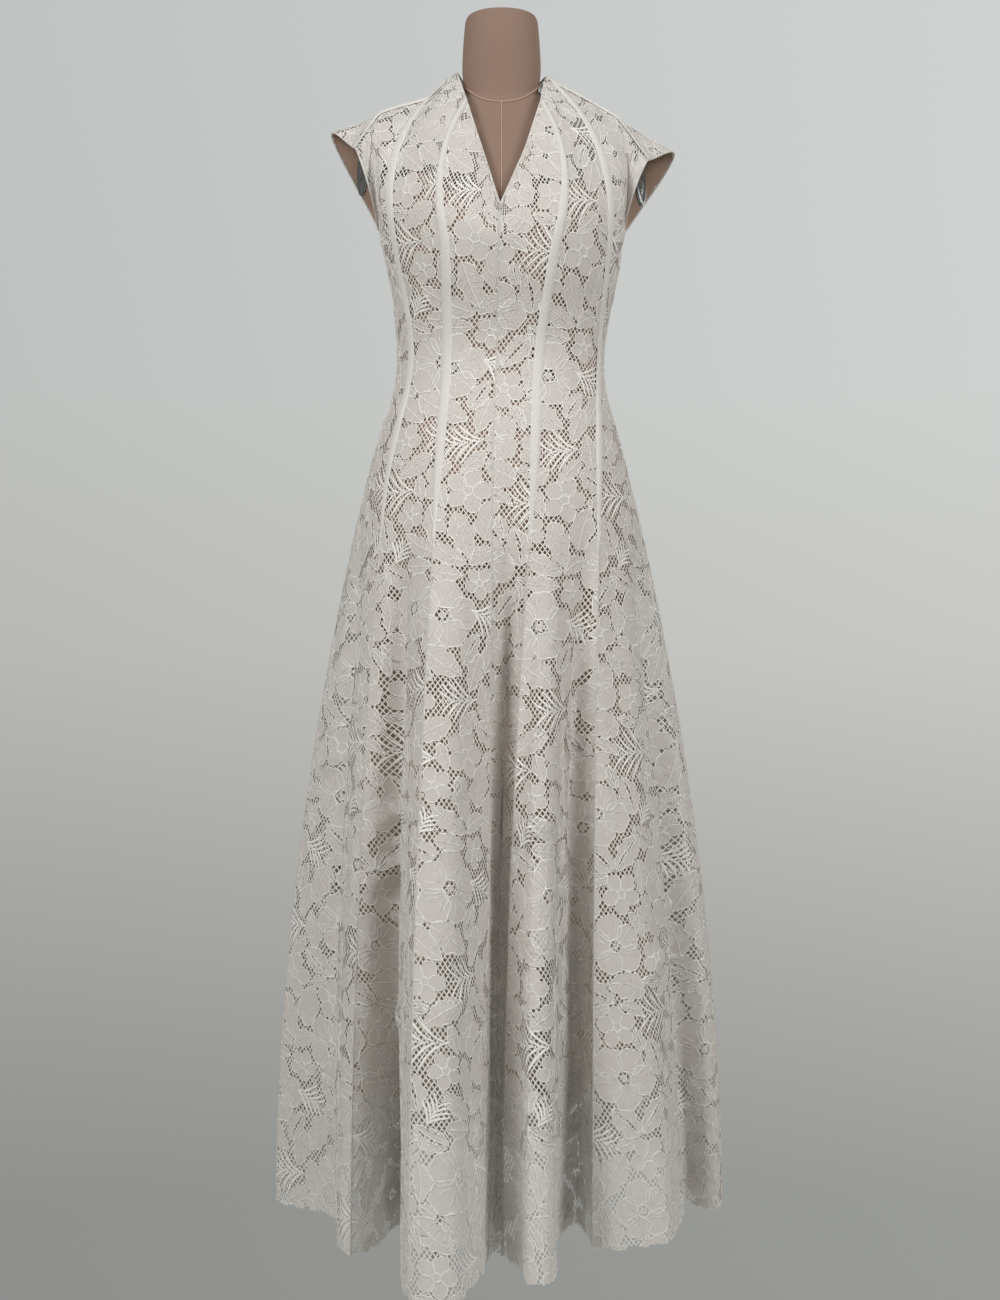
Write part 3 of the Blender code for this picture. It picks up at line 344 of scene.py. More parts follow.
def guide_point(face, guide, row):
    """The point of one guide line of the upper bodice at a row from its top."""
    place, *numbers = guide
    top, bow = np.array(numbers[:3]), np.array(numbers[3:])
    side = -1 if place < 0 else 1
    inner = min(int(abs(place)), 2)
    bottom = across_gore(face, side, inner, (abs(place) - inner,), BUST)[0]
    share = (row / TOP_ROWS) ** TOP_SPACING
    if abs(place) == 3:
        under = np.array(UNDERARM[side])
        if row > ARMHOLE_ROWS:
            return under + (bottom - under) * (row - ARMHOLE_ROWS) / (TOP_ROWS - ARMHOLE_ROWS)
        bottom = under
        share = row / ARMHOLE_ROWS
    along = np.array((share, 1 - (1 - share) ** 1.6, share))
    even = 4 * share * (1 - share)
    early = 6.75 * share * (1 - share) ** 2
    swell = np.full(3, even if face == "front" else early)
    if abs(place) == 3:
        along[1] = share
        swell[1] = even ** 0.6
    return top + (bottom - top) * along + bow * swell


def upper_rows(face):
    """For each fine row of the upper bodice, the places and points of the guide lines."""
    guides = FRONT_GUIDES if face == "front" else BACK_GUIDES
    rows = np.arange(TOP_ROWS * UPPER_STEPS) / UPPER_STEPS
    return [g[0] for g in guides], [np.array([guide_point(face, g, r) for g in guides]) for r in rows]


def gore_rows(face, gore, inner, upper):
    """Rows of points from the top edge to just past the hem, from the inner seam outwards."""
    side = 1 if gore.endswith("left") else -1
    shares = np.linspace(0, 1, MEASURED * FINE_COLUMNS + 1)
    places, guides = upper
    rows = []
    for k, points in enumerate(guides):
        where = side * (inner + shares)
        straight = np.stack([np.interp(where, places, points[:, i]) for i in range(3)], axis=1)
        rounded = smooth_read(places, points, where)
        share = k / UPPER_STEPS / TOP_ROWS
        share = eased(share) if gore.startswith("front_centre") else min(share / TOP_ROUNDED, 1.0)
        rows.append(straight * (1 - share) + rounded * share)
    for height in np.linspace(BUST, HIP, BODICE_STEPS, endpoint=False):
        rows.append(across_gore(face, side, inner, shares, height))
    hip = across_gore(face, side, inner, shares, HIP)
    a = np.array(HEM_SEAMS[(face, inner * side)])
    b = np.array(HEM_SEAMS[(face, (inner + 1) * side)])
    bends = np.array((a, *HEM_FOLDS[gore], b))
    chord = a + (b - a) * shares[:, None]
    fold = smooth_read(np.arange(len(bends)), bends, shares * (len(bends) - 1)) - chord
    for step in np.linspace(0, 1, SKIRT_STEPS + 1):
        swing = 1 - (1 - step) ** FLARE_POWER
        flat = hip[:, :2] * (1 - swing) + chord * swing + fold * step ** FOLD_POWER
        rows.append(np.column_stack((flat, np.full(len(flat), HIP + (HEM - HIP) * step))))
    rows = np.array(rows)
    bust = len(guides)
    kinks = ((bust, KINK_ROWS), (bust + BODICE_STEPS, 2 * KINK_ROWS))
    for (middle, reach), times in zip(kinks, KINK_PASSES):
        inside = rows[middle - reach:middle + reach + 1]
        for _ in range(times):
            inside[1:-1] += (inside[:-2] + inside[2:] - 2 * inside[1:-1]) * KINK_EASE
    return rows


def evenly(rows):
    """Every row measured along itself and given the same number of even steps."""
    spans = steps_along(rows, 1)
    measure = np.concatenate((np.zeros((len(rows), 1)), np.cumsum(spans, axis=1)), axis=1)
    shares = np.linspace(0, 1, FINE_COLUMNS + 1)
    fine = [[np.interp(shares * m[-1], m, row[:, i]) for i in range(3)] for m, row in zip(measure, rows)]
    return np.array(fine).transpose(0, 2, 1), measure


def read_grid(grid, row, column):
    """A grid's values at fractional rows and columns."""
    r, c = row.astype(int), column.astype(int)
    fr, fc = row - r, column - c
    if grid.ndim > 2:
        fr, fc = fr[:, None], fc[:, None]
    high = grid[r, c] * (1 - fc) + grid[r, c + 1] * fc
    low = grid[r + 1, c] * (1 - fc) + grid[r + 1, c + 1] * fc
    return high * (1 - fr) + low * fr


class Gore:
    """One gore: its fine grid, its outward normals, and its flat pattern."""

    def __init__(self, face, part, side, upper):
        self.name = f"{face}_{part}_{side}"
        rows = gore_rows(face, self.name, GORES[part], upper)
        self.points, measure = evenly(rows)
        self.width = measure[:, -1]
        bends = len(HEM_FOLDS[self.name]) + 1
        valley = CLOTH[self.name][4]
        self.has_valley = valley is not None
        share = (valley if self.has_valley else bends // 2) / bends
        deepest = int(round(share * (measure.shape[1] - 1)))
        self.valley = measure[:, deepest] / self.width * FINE_COLUMNS
        self.half = measure[0, measure.shape[1] // 2] / self.width[0] * FINE_COLUMNS
        down = steps_along(self.points, 0)
        length = np.concatenate((np.zeros((1, FINE_COLUMNS + 1)), np.cumsum(down, axis=0)))
        self.depth = length - length[HIP_ROW]    # down each column from the hip
        self.down = self.depth.mean(axis=1)
        self.sign = -1 if side == "left" else 1      # which way the columns run, seen from the front
        self.find_normals()
        self.crease()
        self.find_normals()

    def crease(self):
        """Soft ripples that grow down the skirt, deeper folds, and the listed creases."""
        column = np.linspace(0, 1, FINE_COLUMNS + 1)[None, :]
        inside = np.sin(math.pi * column)
        below = np.clip(self.depth / RIPPLE_REACH, 0, 1)
        waves, phase = CLOTH[self.name][:2]
        drift = RIPPLE_DRIFT * np.sin(self.depth * DRIFT_PITCH + 2 * phase)
        wave = np.sin(2 * math.pi * waves * column + phase + drift)
        shift = RIPPLE_HEIGHT * below ** 0.7 * inside * wave
        above = np.clip(-self.depth / PULL_REACH, 0, 1)
        shift += PULL_HEIGHT * above * inside * np.sin(self.depth * PULL_PITCH + 5 * column + phase)
        self.deepen(inside)
        self.hollow(inside)
        u = (column - 0.5) * self.width[:, None] * self.sign
        for gore, u0, v0, u1, v1, half, height in CREASES:
            if gore != self.name:
                continue
            way = np.array((u1 - u0, v1 - v0))
            share = np.clip(((u - u0) * way[0] + (self.depth - v0) * way[1]) / (way @ way), 0, 1)
            apart = np.hypot(u - u0 - share * way[0], self.depth - v0 - share * way[1])
            fade = np.sin(math.pi * np.clip(share, 0.04, 0.96)) ** 0.6
            shift += CREASE_LIFT * height * fade * inside ** 0.3 * np.exp(-(apart / half) ** 2)
        self.points += self.normals * shift[:, :, None]

    def deepen(self, inside):
        """The deepest fold goes further towards the form."""
        if not self.has_valley:
            return
        apart = np.arange(FINE_COLUMNS + 1)[None, :] - self.valley[:, None]
        apart = apart * self.width[:, None] / FINE_COLUMNS
        along = np.clip((self.depth - VALLEY_FROM) / (VALLEY_TO - VALLEY_FROM), 0, 1)
        fade = np.sin(math.pi * along ** 0.65) ** 1.6 * inside ** 0.7
        deeper = VALLEY_DEEPER * fade * np.exp(-np.abs(apart / VALLEY_HALF) ** 3)
        self.points -= unit(self.points * (1.0, 1.0, 0.0)) * deeper[:, :, None]

    def hollow(self, inside):
        """Folds with a wide flat bottom."""
        x, y = self.points[:, :, 0], self.points[:, :, 1]
        for gore, x0, x1, bottom, start, end in HOLLOWS:
            if gore != self.name:
                continue
            across = eased((x - x0) / HOLLOW_EDGE) * eased((x1 - x) / HOLLOW_EDGE)
            along = (self.depth - start) / (end - start)
            ends = eased(along / HOLLOW_ENDS), eased((1 - along) / HOLLOW_ENDS)
            y += np.maximum(bottom - y, 0) * across * ends[0] * ends[1] * inside ** 0.25

    def find_normals(self):
        normals = unit(np.cross(np.gradient(self.points, axis=0), np.gradient(self.points, axis=1)))
        away = self.points * np.array((1.0, 1.0, 0.0))
        self.normals = normals if np.sum(normals * away) > 0 else -normals

    def at(self, row, column, lift=0.0):
        """Points at fractional rows and columns, moved out by the lift."""
        row = np.clip(row, 0, len(self.points) - 1 - LAST)
        column = np.clip(column, 0, FINE_COLUMNS - LAST)
        out = unit(read_grid(self.normals, row, column))
        return read_grid(self.points, row, column) + out * np.reshape(lift, (-1, 1))

    def place_of(self, u, v):
        """Rows and columns of points of the flat pattern, with u from the gore's middle line."""
        row = np.interp(v, self.down, np.arange(len(self.down)))
        for _ in range(PLACE_PASSES):
            width = np.interp(row, np.arange(len(self.width)), self.width)
            column = (self.sign * u / width + 0.5) * FINE_COLUMNS
            inside = np.clip(column, 0, FINE_COLUMNS - LAST)
            low, high = np.zeros(len(row)), np.full(len(row), len(self.down) - 1 - LAST)
            for _ in range(PLACE_HALVINGS):
                middle = (low + high) / 2
                deeper = read_grid(self.depth, middle, inside) < v
                low, high = np.where(deeper, middle, low), np.where(deeper, high, middle)
            row = (low + high) / 2
        return row, column


def all_gores():
    gores = {}
    for face in FACES:
        upper = upper_rows(face)
        for part in GORES:
            for side in SIDES:
                gore = Gore(face, part, side, upper)
                gores[gore.name] = gore
    return gores


def share_normals(gores):
    """Two gores have one normal where they meet, so that a seam's tape and edges meet too."""
    def mean(one, two):
        both = unit(one + two)
        one[...] = both
        two[...] = both

    for face in FACES:
        mean(gores[f"{face}_centre_left"].normals[:, 0], gores[f"{face}_centre_right"].normals[:, 0])
        for side in SIDES:
            mean(gores[f"{face}_centre_{side}"].normals[:, -1], gores[f"{face}_mid_{side}"].normals[:, 0])
            mean(gores[f"{face}_mid_{side}"].normals[:, -1], gores[f"{face}_side_{side}"].normals[:, 0])
    below = slice(ARMHOLE_ROWS * UPPER_STEPS, None)
    for side in SIDES:
        mean(gores[f"front_side_{side}"].normals[below, -1], gores[f"back_side_{side}"].normals[below, -1])


# The lace pattern: motifs drawn flat, in metres, on a tile that repeats.
TILE_WIDTH, TILE_HEIGHT = 0.200, 0.320
TILE_CELL = 0.002            # how finely the free room on the tile is measured
LEAST_ROOM = 0.0060          # half of the widest free place that stays net
MOTIF_GAP = 0.0018           # net left around each motif
FILL_LIFT, CORD_LIFT = 0.00035, 0.00055
CORD_WIDTH, CORD_RISE = 0.00115, 0.00045
LEAF_POINTS = 14
LEAF_REACH, LEAF_MOST = 0.030, 0.058    # how far free room is looked for, and the longest leaf put in it
LEAF_FATTEST, LEAF_BEND = 0.36, 0.12    # a leaf's half width and bend at most, as shares of its length
SPLIT_SHARE = 0.25                      # how many of the small leaves are split
BLOSSOM_LEAST, BLOSSOM_ROUND = 0.008, 2.9    # a flower goes where room is this wide, and less long than that
GROWN_MOST, GROWN_WAYS, GROWN_SEED = 160, 12, 7
ROSES = (
    # u, v, radius, turn
    (0.045, 0.085, 0.0400, 0.2), (0.146, 0.160, 0.0430, 1.1), (0.052, 0.246, 0.0360, 2.0),
)
SPRAYS = (
    # u, v, length, turn, mirrored
    (0.098, 0.012, 0.078, math.pi, 1), (0.010, 0.160, 0.060, 0.35, -1), (0.160, 0.262, 0.070, 3.0, 1),
    (0.118, 0.084, 0.046, -1.0, -1),
)
LARGE_LEAVES = (
    # u, v, length, turn
    (0.170, 0.060, 0.062, 1.2), (0.080, 0.135, 0.056, 2.3), (0.110, 0.222, 0.060, 0.7),
    (0.190, 0.226, 0.050, 1.9), (0.020, 0.300, 0.058, 0.5), (0.130, 0.300, 0.054, 2.6),
    (0.150, 0.108, 0.044, 0.1),
)


class Motif:
    """Flat pieces of one motif: cloth fills and raised cords, as points and triangles."""

    def __init__(self):
        self.parts = {"fill": [], "cord": []}
        self.edges = []

    def add(self, kind, points, lifts, faces):
        self.parts[kind].append((np.asarray(points, float), np.asarray(lifts, float),
                                 np.asarray(faces, int)))

    def fill(self, outline, level=0.0, hole=None):
        """Cloth inside a closed outline, down to an inner loop where one is given."""
        outline = np.asarray(outline, float)
        count = len(outline)
        self.edges.append(outline)
        centre = outline.mean(axis=0)
        inner = np.repeat(centre[None], count, axis=0) if hole is None else np.asarray(hole, float)
        middle = (outline + inner) / 2
        points = np.concatenate((outline, middle, inner if hole is not None else centre[None]))
        faces = []
        for i in range(count):
            j = (i + 1) % count
            faces += [(i, j, count + j), (i, count + j, count + i)]
            if hole is None:
                faces.append((count + i, count + j, 2 * count))
            else:
                faces += [(count + i, count + j, 2 * count + j), (count + i, 2 * count + j, 2 * count + i)]
        self.add("fill", points, np.full(len(points), level), faces)

    def cord(self, line, width=CORD_WIDTH, closed=False, level=0.0, taper=False):
        """A raised cord along a line, thinner towards its ends where it tapers."""
        line = np.asarray(line, float)
        if closed:
            line = np.concatenate((line, line[:1]))
        way = np.gradient(line, axis=0)
        if closed:
            way[0] = way[-1] = line[1] - line[-2]
        across = unit(np.column_stack((-way[:, 1], way[:, 0])))
        half = np.full(len(line), width / 2)
        if taper:
            half *= np.sin(np.linspace(0.0, math.pi, len(line))) ** 0.55 * 0.9 + 0.1
        count = len(line)
        points = np.concatenate((line - across * half[:, None], line, line + across * half[:, None]))
        lifts = np.full(3 * count, level)
        lifts[count:2 * count] += CORD_RISE * np.minimum(half / (width / 2) + 0.2, 1.0)
        faces = []
        for i in range(count - 1):
            for a in (0, count):
                faces += [(a + i, a + i + 1, a + count + i + 1), (a + i, a + count + i + 1, a + count + i)]
        self.add("cord", points, lifts, faces)

    def placed(self, u, v, size=1.0, turn=0.0, mirror=1):
        """This motif moved, turned and scaled on the tile."""
        made = Motif()
        turned = np.array(((math.cos(turn), math.sin(turn)), (-math.sin(turn), math.cos(turn)))) * size
        for kind, parts in self.parts.items():
            for points, lifts, faces in parts:
                made.add(kind, points * (1, mirror) @ turned + (u, v), lifts, faces)
        made.edges = [edge * (1, mirror) @ turned + (u, v) for edge in self.edges]
        return made


def ellipse(x, y, half_x, half_y, count=20, waves=0, depth=0.0, phase=0.0):
    t = turns(count)
    swell = 1 + depth * np.cos(waves * t + phase)
    return np.column_stack((x + np.cos(t) * half_x * swell, y + np.sin(t) * half_y * swell))


def turned_by(points, angle):
    c, s = math.cos(angle), math.sin(angle)
    return np.asarray(points) @ np.array(((c, s), (-s, c)))


def rose(radius, petals=5, phase=0.0):
    """Broad scalloped petals around a ring of net with a dot in its middle."""
    made = Motif()
    ring = ellipse(0, 0, radius * 0.55, radius * 0.55, 24)
    made.fill(ring, level=-0.0001, hole=ellipse(0, 0, radius * 0.21, radius * 0.21, 24, 6, 0.08))
    for k in range(petals):
        angle = 2 * math.pi * k / petals + phase
        size = 1.0 + 0.10 * math.sin(2.4 * k + 5 * phase)
        petal = ellipse(radius * 0.61 * size, 0, radius * 0.40 * size, radius * 0.46, 24, 6, 0.06, k + phase)
        petal = turned_by(petal, angle)
        level = 0.00004 * k
        made.fill(petal, level)
        made.cord(petal, closed=True, level=level)
        for bend in (-0.45, 0.5):
            t = np.linspace(0.0, 1.0, 6)
            arc = np.column_stack((radius * (0.34 + 0.50 * t), radius * bend * np.sin(t * 1.9) * 0.42))
            made.cord(turned_by(arc, angle), CORD_WIDTH * 0.75, level=level, taper=True)
    inner = ellipse(0, 0, radius * 0.22, radius * 0.22, 24, 6, 0.08)
    made.cord(inner, CORD_WIDTH, closed=True, level=0.0002)
    dot = ellipse(0, 0, radius * 0.085, radius * 0.085, 10)
    made.fill(dot)
    made.cord(dot, CORD_WIDTH * 0.9, closed=True)
    for k in range(6):
        ray = np.array(((radius * 0.09, 0.0), (radius * 0.22, 0.0)))
        made.cord(turned_by(ray, k * math.pi / 3 + 0.3), CORD_WIDTH * 0.5)
    return made


def leaf_side(length, half, sign, teeth, bend):
    t = np.linspace(0, 1, LEAF_POINTS)
    bulge = np.sin(math.pi * t ** 0.8) ** 0.85 * (1 + 0.17 * np.sin(teeth * 2 * math.pi * t + sign))
    return np.column_stack((length * (t - 0.5), sign * half * bulge + bend * length * np.sin(math.pi * t)))


def leaf(length, half, teeth=4, split=False, bend=0.0):
    """A broad leaf with a middle vein and side veins. A split one shows net along its vein."""
    made = Motif()
    top, bottom = leaf_side(length, half, 1, teeth, bend), leaf_side(length, half, -1, teeth, bend)
    t = np.linspace(0, 1, LEAF_POINTS)
    spine = np.column_stack(((t - 0.5) * length, (half * 0.10 + bend * length) * np.sin(math.pi * t)))
    if split:
        gap = half * 0.17 * np.sin(math.pi * t)
        for edge, sign in ((top, 1), (bottom, -1)):
            near = spine + np.column_stack((np.zeros(LEAF_POINTS), sign * gap))
            outline = np.concatenate((edge, near[-2:0:-1]))
            made.fill(outline)
            made.cord(outline, closed=True)
    else:
        outline = np.concatenate((top, bottom[-2:0:-1]))
        made.fill(outline)
        made.cord(outline, closed=True)
        made.cord(spine, CORD_WIDTH * 0.9, level=0.00005)
    for share in (0.25, 0.45, 0.65) if length > 0.026 else ():
        for edge in (top, bottom):
            k = int(share * (LEAF_POINTS - 1))
            start, end = spine[k], edge[min(k + 2, LEAF_POINTS - 1)]
            vein = np.linspace(0.1, 0.82, 3)[:, None]
            made.cord(start + (end - start) * vein, CORD_WIDTH * 0.6, level=0.00004, taper=True)
    return made


def spray(length):
    """Nested curved bands that meet in a point, like feathers, with net between them."""
    made = Motif()
    s = np.linspace(0, 1, 12)
    for k in range(4):
        for sign in (1, -1):
            reach = length * (0.50 - 0.05 * k)
            x = reach * s ** 0.75 - length * (0.5 - 0.155 * k)
            y = sign * length * (0.42 - 0.055 * k) * s ** 1.5
            band = np.column_stack((x, y))
            made.cord(band, 0.0030 - 0.0002 * k, taper=True)
            made.edges.append(ribbon_edge(band, 0.0020))
    for x in np.arange(-length * 0.36, length * 0.30, 0.0034):
        made.cord(np.array(((x, -0.0013), (x, 0.0013))), 0.0016)
    return made


def ribbon_edge(line, half):
    way = np.gradient(line, axis=0)
    across = unit(np.column_stack((-way[:, 1], way[:, 0]))) * half
    return np.concatenate((line + across, (line - across)[::-1]))


def blossom(radius, petals=5, phase=0.0):
    """A small flower of round petals."""
    made = Motif()
    for k in range(petals):
        petal = ellipse(radius * 0.58, 0, radius * 0.42, radius * 0.37, 12)
        petal = turned_by(petal, 2 * math.pi * k / petals + phase)
        made.fill(petal, 0.00003 * k)
        made.cord(petal, CORD_WIDTH * 0.85, closed=True, level=0.00003 * k)
    dot = ellipse(0, 0, radius * 0.24, radius * 0.24, 10)
    made.fill(dot, 0.0002)
    made.cord(dot, CORD_WIDTH * 0.8, closed=True, level=0.0002)
    return made


def inside_of(outline, u, v):
    """Which points of the tile lie inside a closed outline, the tile repeating."""
    centre = outline.mean(axis=0)
    x = (u - centre[0] + TILE_WIDTH / 2) % TILE_WIDTH - TILE_WIDTH / 2 + centre[0]
    y = (v - centre[1] + TILE_HEIGHT / 2) % TILE_HEIGHT - TILE_HEIGHT / 2 + centre[1]
    inside = np.zeros(x.shape, bool)
    for (x1, y1), (x2, y2) in zip(outline, np.roll(outline, -1, axis=0)):
        if y1 == y2:
            continue
        crosses = (y1 > y) != (y2 > y)
        inside ^= crosses & (x < (x2 - x1) * (y - y1) / (y2 - y1) + x1)
    return inside


class Tile:
    """The repeat of the lace: motifs placed as listed, then smaller ones in the free room."""

    def __init__(self):
        self.motifs = []
        u = np.arange(0, TILE_WIDTH, TILE_CELL) + TILE_CELL / 2
        v = np.arange(0, TILE_HEIGHT, TILE_CELL) + TILE_CELL / 2
        self.u, self.v = np.meshgrid(u, v)
        self.room = np.full(self.u.shape, 1.0)    # distance to the nearest motif

    def put(self, motif):
        self.motifs.append(motif)
        for edge in motif.edges:
            self.room[inside_of(edge, self.u, self.v)] = 0.0
            for x, y in edge:
                du = np.abs(self.u - x % TILE_WIDTH)
                dv = np.abs(self.v - y % TILE_HEIGHT)
                du, dv = np.minimum(du, TILE_WIDTH - du), np.minimum(dv, TILE_HEIGHT - dv)
                self.room = np.minimum(self.room, np.maximum(np.hypot(du, dv) - MOTIF_GAP, 0.0))

    def clear_way(self, u, v, angle, most):
        """How far it is free from a point in one direction."""
        for distance in np.arange(TILE_CELL, most, TILE_CELL):
            x, y = u + math.cos(angle) * distance, v + math.sin(angle) * distance
            column = int(x % TILE_WIDTH / TILE_CELL) % self.room.shape[1]
            row = int(y % TILE_HEIGHT / TILE_CELL) % self.room.shape[0]
            if self.room[row, column] < TILE_CELL * 0.8:
                return distance
        return most

    def grow(self, least):
        """Leaves and small flowers in the widest free places, until none is left."""
        draw = np.random.default_rng(GROWN_SEED)
        for _ in range(GROWN_MOST):
            row, column = np.unravel_index(np.argmax(self.room), self.room.shape)
            wide = self.room[row, column]
            if wide < least:
                return
            u, v = self.u[row, column], self.v[row, column]
            angles = np.linspace(0, math.pi, GROWN_WAYS, endpoint=False)
            ways = [[self.clear_way(u, v, a + turn, LEAF_REACH) for turn in (0, math.pi)] for a in angles]
            spans = [sum(way) for way in ways]
            best = int(np.argmax(spans))
            ahead, behind = ways[best]
            length = min(spans[best], LEAF_MOST)
            u += math.cos(angles[best]) * (ahead - behind) / 2
            v += math.sin(angles[best]) * (ahead - behind) / 2
            if length < wide * BLOSSOM_ROUND and wide > BLOSSOM_LEAST:
                made = blossom(wide, phase=draw.uniform(0, 6)).placed(u, v)
            else:
                half = min(wide, length * LEAF_FATTEST)
                made = leaf(length, half, int(draw.integers(2, 5)), split=draw.random() < SPLIT_SHARE,
                            bend=draw.uniform(-LEAF_BEND, LEAF_BEND))
                made = made.placed(u, v, turn=angles[best] + (math.pi if draw.random() < 0.5 else 0.0))
            self.put(made)


def lace_tile():
    tile = Tile()
    for u, v, radius, turn in ROSES:
        tile.put(rose(radius, phase=turn).placed(u, v))
    for u, v, length, turn, mirror in SPRAYS:
        tile.put(spray(length).placed(u, v, turn=turn, mirror=mirror))
    for k, (u, v, length, turn) in enumerate(LARGE_LEAVES):
        tile.put(leaf(length, length * 0.24, 3 + k % 3, split=k % 3 == 1).placed(u, v, turn=turn))
    tile.grow(LEAST_ROOM)
    return tile


def motif_arrays(tile):
    """Each motif of the tile as one set of points, lifts, triangles and materials, with its box."""
    found = []
    for motif in tile.motifs:
        points, lifts, faces, finish = [], [], [], []
        count = 0
        for kind, base, index in (("fill", FILL_LIFT, 0), ("cord", CORD_LIFT, 1)):
            for p, lift, f in motif.parts[kind]:
                points.append(p)
                lifts.append(lift + base)
                faces.append(f + count)
                finish.append(np.full(len(f), index))
                count += len(p)
        points = np.concatenate(points)
        found.append((points, np.concatenate(lifts), np.concatenate(faces), np.concatenate(finish),
                      points.min(axis=0), points.max(axis=0)))
    return found


BODY = "dress_and_form"
HEM_PAST = 0.004             # how far motifs may hang past the net at the raw hem
SPECK = 2e-9                 # triangles of motifs smaller than half of this, in square metres, are left out
NET_WIDTH, NET_HEIGHT = 0.0062, 0.0086
NET_THREAD = 0.14            # half of a thread, as a share of the mesh
TAPE_PROFILE = (0.0004, 0.0014, 0.0019, 0.0021, 0.0021, 0.0021, 0.0019, 0.0014, 0.0004)
TAPE_STARTS = {"inner": 0.5, "outer": 1.2}    # in fine rows from the top
TAPE_RUNS_ON = 8             # fine rows below the hip where the tape thins out
TAPE_ROWS, TAPE_COLUMNS = 130, len(TAPE_PROFILE)
SHOULDER_STEPS, SHOULDER_TRIES, SHOULDER_LIFT = 24, 600, 0.0010
SHOULDER_FROM = 0.72         # share of the middle gore's width at which a shoulder tape starts
SEAM_HALF = 0.0016
SEAM_PROFILE = (0.0003, 0.0009, 0.0012, 0.0009, 0.0003)
EDGE_RADIUS, EDGE_DROP = 0.0011, -0.0004
NECK_STEPS, NAPE_STEPS, ARMHOLE_STEPS = 40, 16, 60    # points along the bindings, on each gore or face
FACING_FROM, FACING_SHORT = 8, 0.3    # fine columns: where the slip beside an armhole starts, and stops short
FACING_ROWS_ON, FACING_COLUMNS = 8, 14
SLIP_STEPS = 6               # fine columns of the slip for each point of its rings
FILL_ALPHA, SEAM_ALPHA, SPECULAR = 0.73, 0.65, 0.3
FADE_HEIGHTS = (0.40, 1.00)    # between them the slip goes from pale to brown
SLIP_BROWN, SLIP_PALE = (0.46, 0.325, 0.245), (0.60, 0.53, 0.43)


def clear_defaults():
    for old in list(bpy.data.objects):
        if old.type in ("CAMERA", "LIGHT") or old.name == "Cube":
            bpy.data.objects.remove(old, do_unlink=True)


def shader_input(made, name):
    return made.node_tree.nodes["Principled BSDF"].inputs[name]


def material(name, colour, roughness=0.8, metallic=0.0, sheen=0.0):
    made = bpy.data.materials.new(name)
    made.use_nodes = True
    values = {"Base Color": (*colour, 1.0), "Roughness": roughness, "Metallic": metallic,
              "Sheen Weight": sheen, "Specular IOR Level": SPECULAR}
    for key, value in values.items():
        shader_input(made, key).default_value = value
    return made


def node(made, kind, **values):
    found = made.node_tree.nodes.new(kind)
    for key, value in values.items():
        setattr(found, key, value)
    return found


def math_node(made, operation, *values):
    found = node(made, "ShaderNodeMath", operation=operation)
    for i, value in enumerate(values):
        if isinstance(value, (int, float)):
            found.inputs[i].default_value = value
        else:
            made.node_tree.links.new(value, found.inputs[i])
    return found.outputs[0]


def map_range(made, value, low, high, to_low=0.0, to_high=1.0):
    found = node(made, "ShaderNodeMapRange")
    for name, number in (("From Min", low), ("From Max", high), ("To Min", to_low), ("To Max", to_high)):
        found.inputs[name].default_value = number
    made.node_tree.links.new(value, found.inputs["Value"])
    return found.outputs["Result"]


def place_axes(made):
    """The X, Y and Z of a point, as the material sees them."""
    place = node(made, "ShaderNodeTexCoord")
    split = node(made, "ShaderNodeSeparateXYZ")
    made.node_tree.links.new(place.outputs["Object"], split.inputs[0])
    return split.outputs


def weave(made, scale, strength, distance=0.0004, stretch=(1.0, 1.0, 1.0)):
    """A fine uneven bump, as threads give."""
    links = made.node_tree.links
    place = node(made, "ShaderNodeTexCoord")
    mapping = node(made, "ShaderNodeMapping")
    mapping.inputs["Scale"].default_value = stretch
    noise = node(made, "ShaderNodeTexNoise")
    noise.inputs["Scale"].default_value = scale
    noise.inputs["Detail"].default_value = 3.0
    bump = node(made, "ShaderNodeBump")
    bump.inputs["Strength"].default_value = strength
    bump.inputs["Distance"].default_value = distance
    links.new(place.outputs["Object"], mapping.inputs["Vector"])
    links.new(mapping.outputs["Vector"], noise.inputs["Vector"])
    links.new(noise.outputs["Fac"], bump.inputs["Height"])
    links.new(bump.outputs["Normal"], shader_input(made, "Normal"))


def fade_down(made, high, low):
    """The slip looks browner where the form is behind it and paler in the skirt."""
    mix = node(made, "ShaderNodeMix", data_type="RGBA")
    mix.inputs["A"].default_value = (*low, 1.0)
    mix.inputs["B"].default_value = (*high, 1.0)
    links = made.node_tree.links
    links.new(map_range(made, place_axes(made)["Z"], *FADE_HEIGHTS), mix.inputs["Factor"])
    links.new(mix.outputs["Result"], shader_input(made, "Base Color"))


def net_material(name, colour):
    """Net of slanted threads: open between them."""
    made = material(name, colour, 0.75, sheen=0.2)
    links = made.node_tree.links
    flat = node(made, "ShaderNodeUVMap", uv_map="flat")
    split = node(made, "ShaderNodeSeparateXYZ")
    links.new(flat.outputs["UV"], split.inputs[0])
    across = math_node(made, "DIVIDE", split.outputs["X"], NET_WIDTH)
    along = math_node(made, "DIVIDE", split.outputs["Y"], NET_HEIGHT)
    lines = []
    for operation in ("ADD", "SUBTRACT"):
        slant = math_node(made, "FRACT", math_node(made, operation, across, along))
        lines.append(math_node(made, "ABSOLUTE", math_node(made, "SUBTRACT", slant, 0.5)))
    nearest = math_node(made, "MINIMUM", *lines)
    thread = math_node(made, "LESS_THAN", nearest, NET_THREAD)
    links.new(thread, shader_input(made, "Alpha"))
    return made


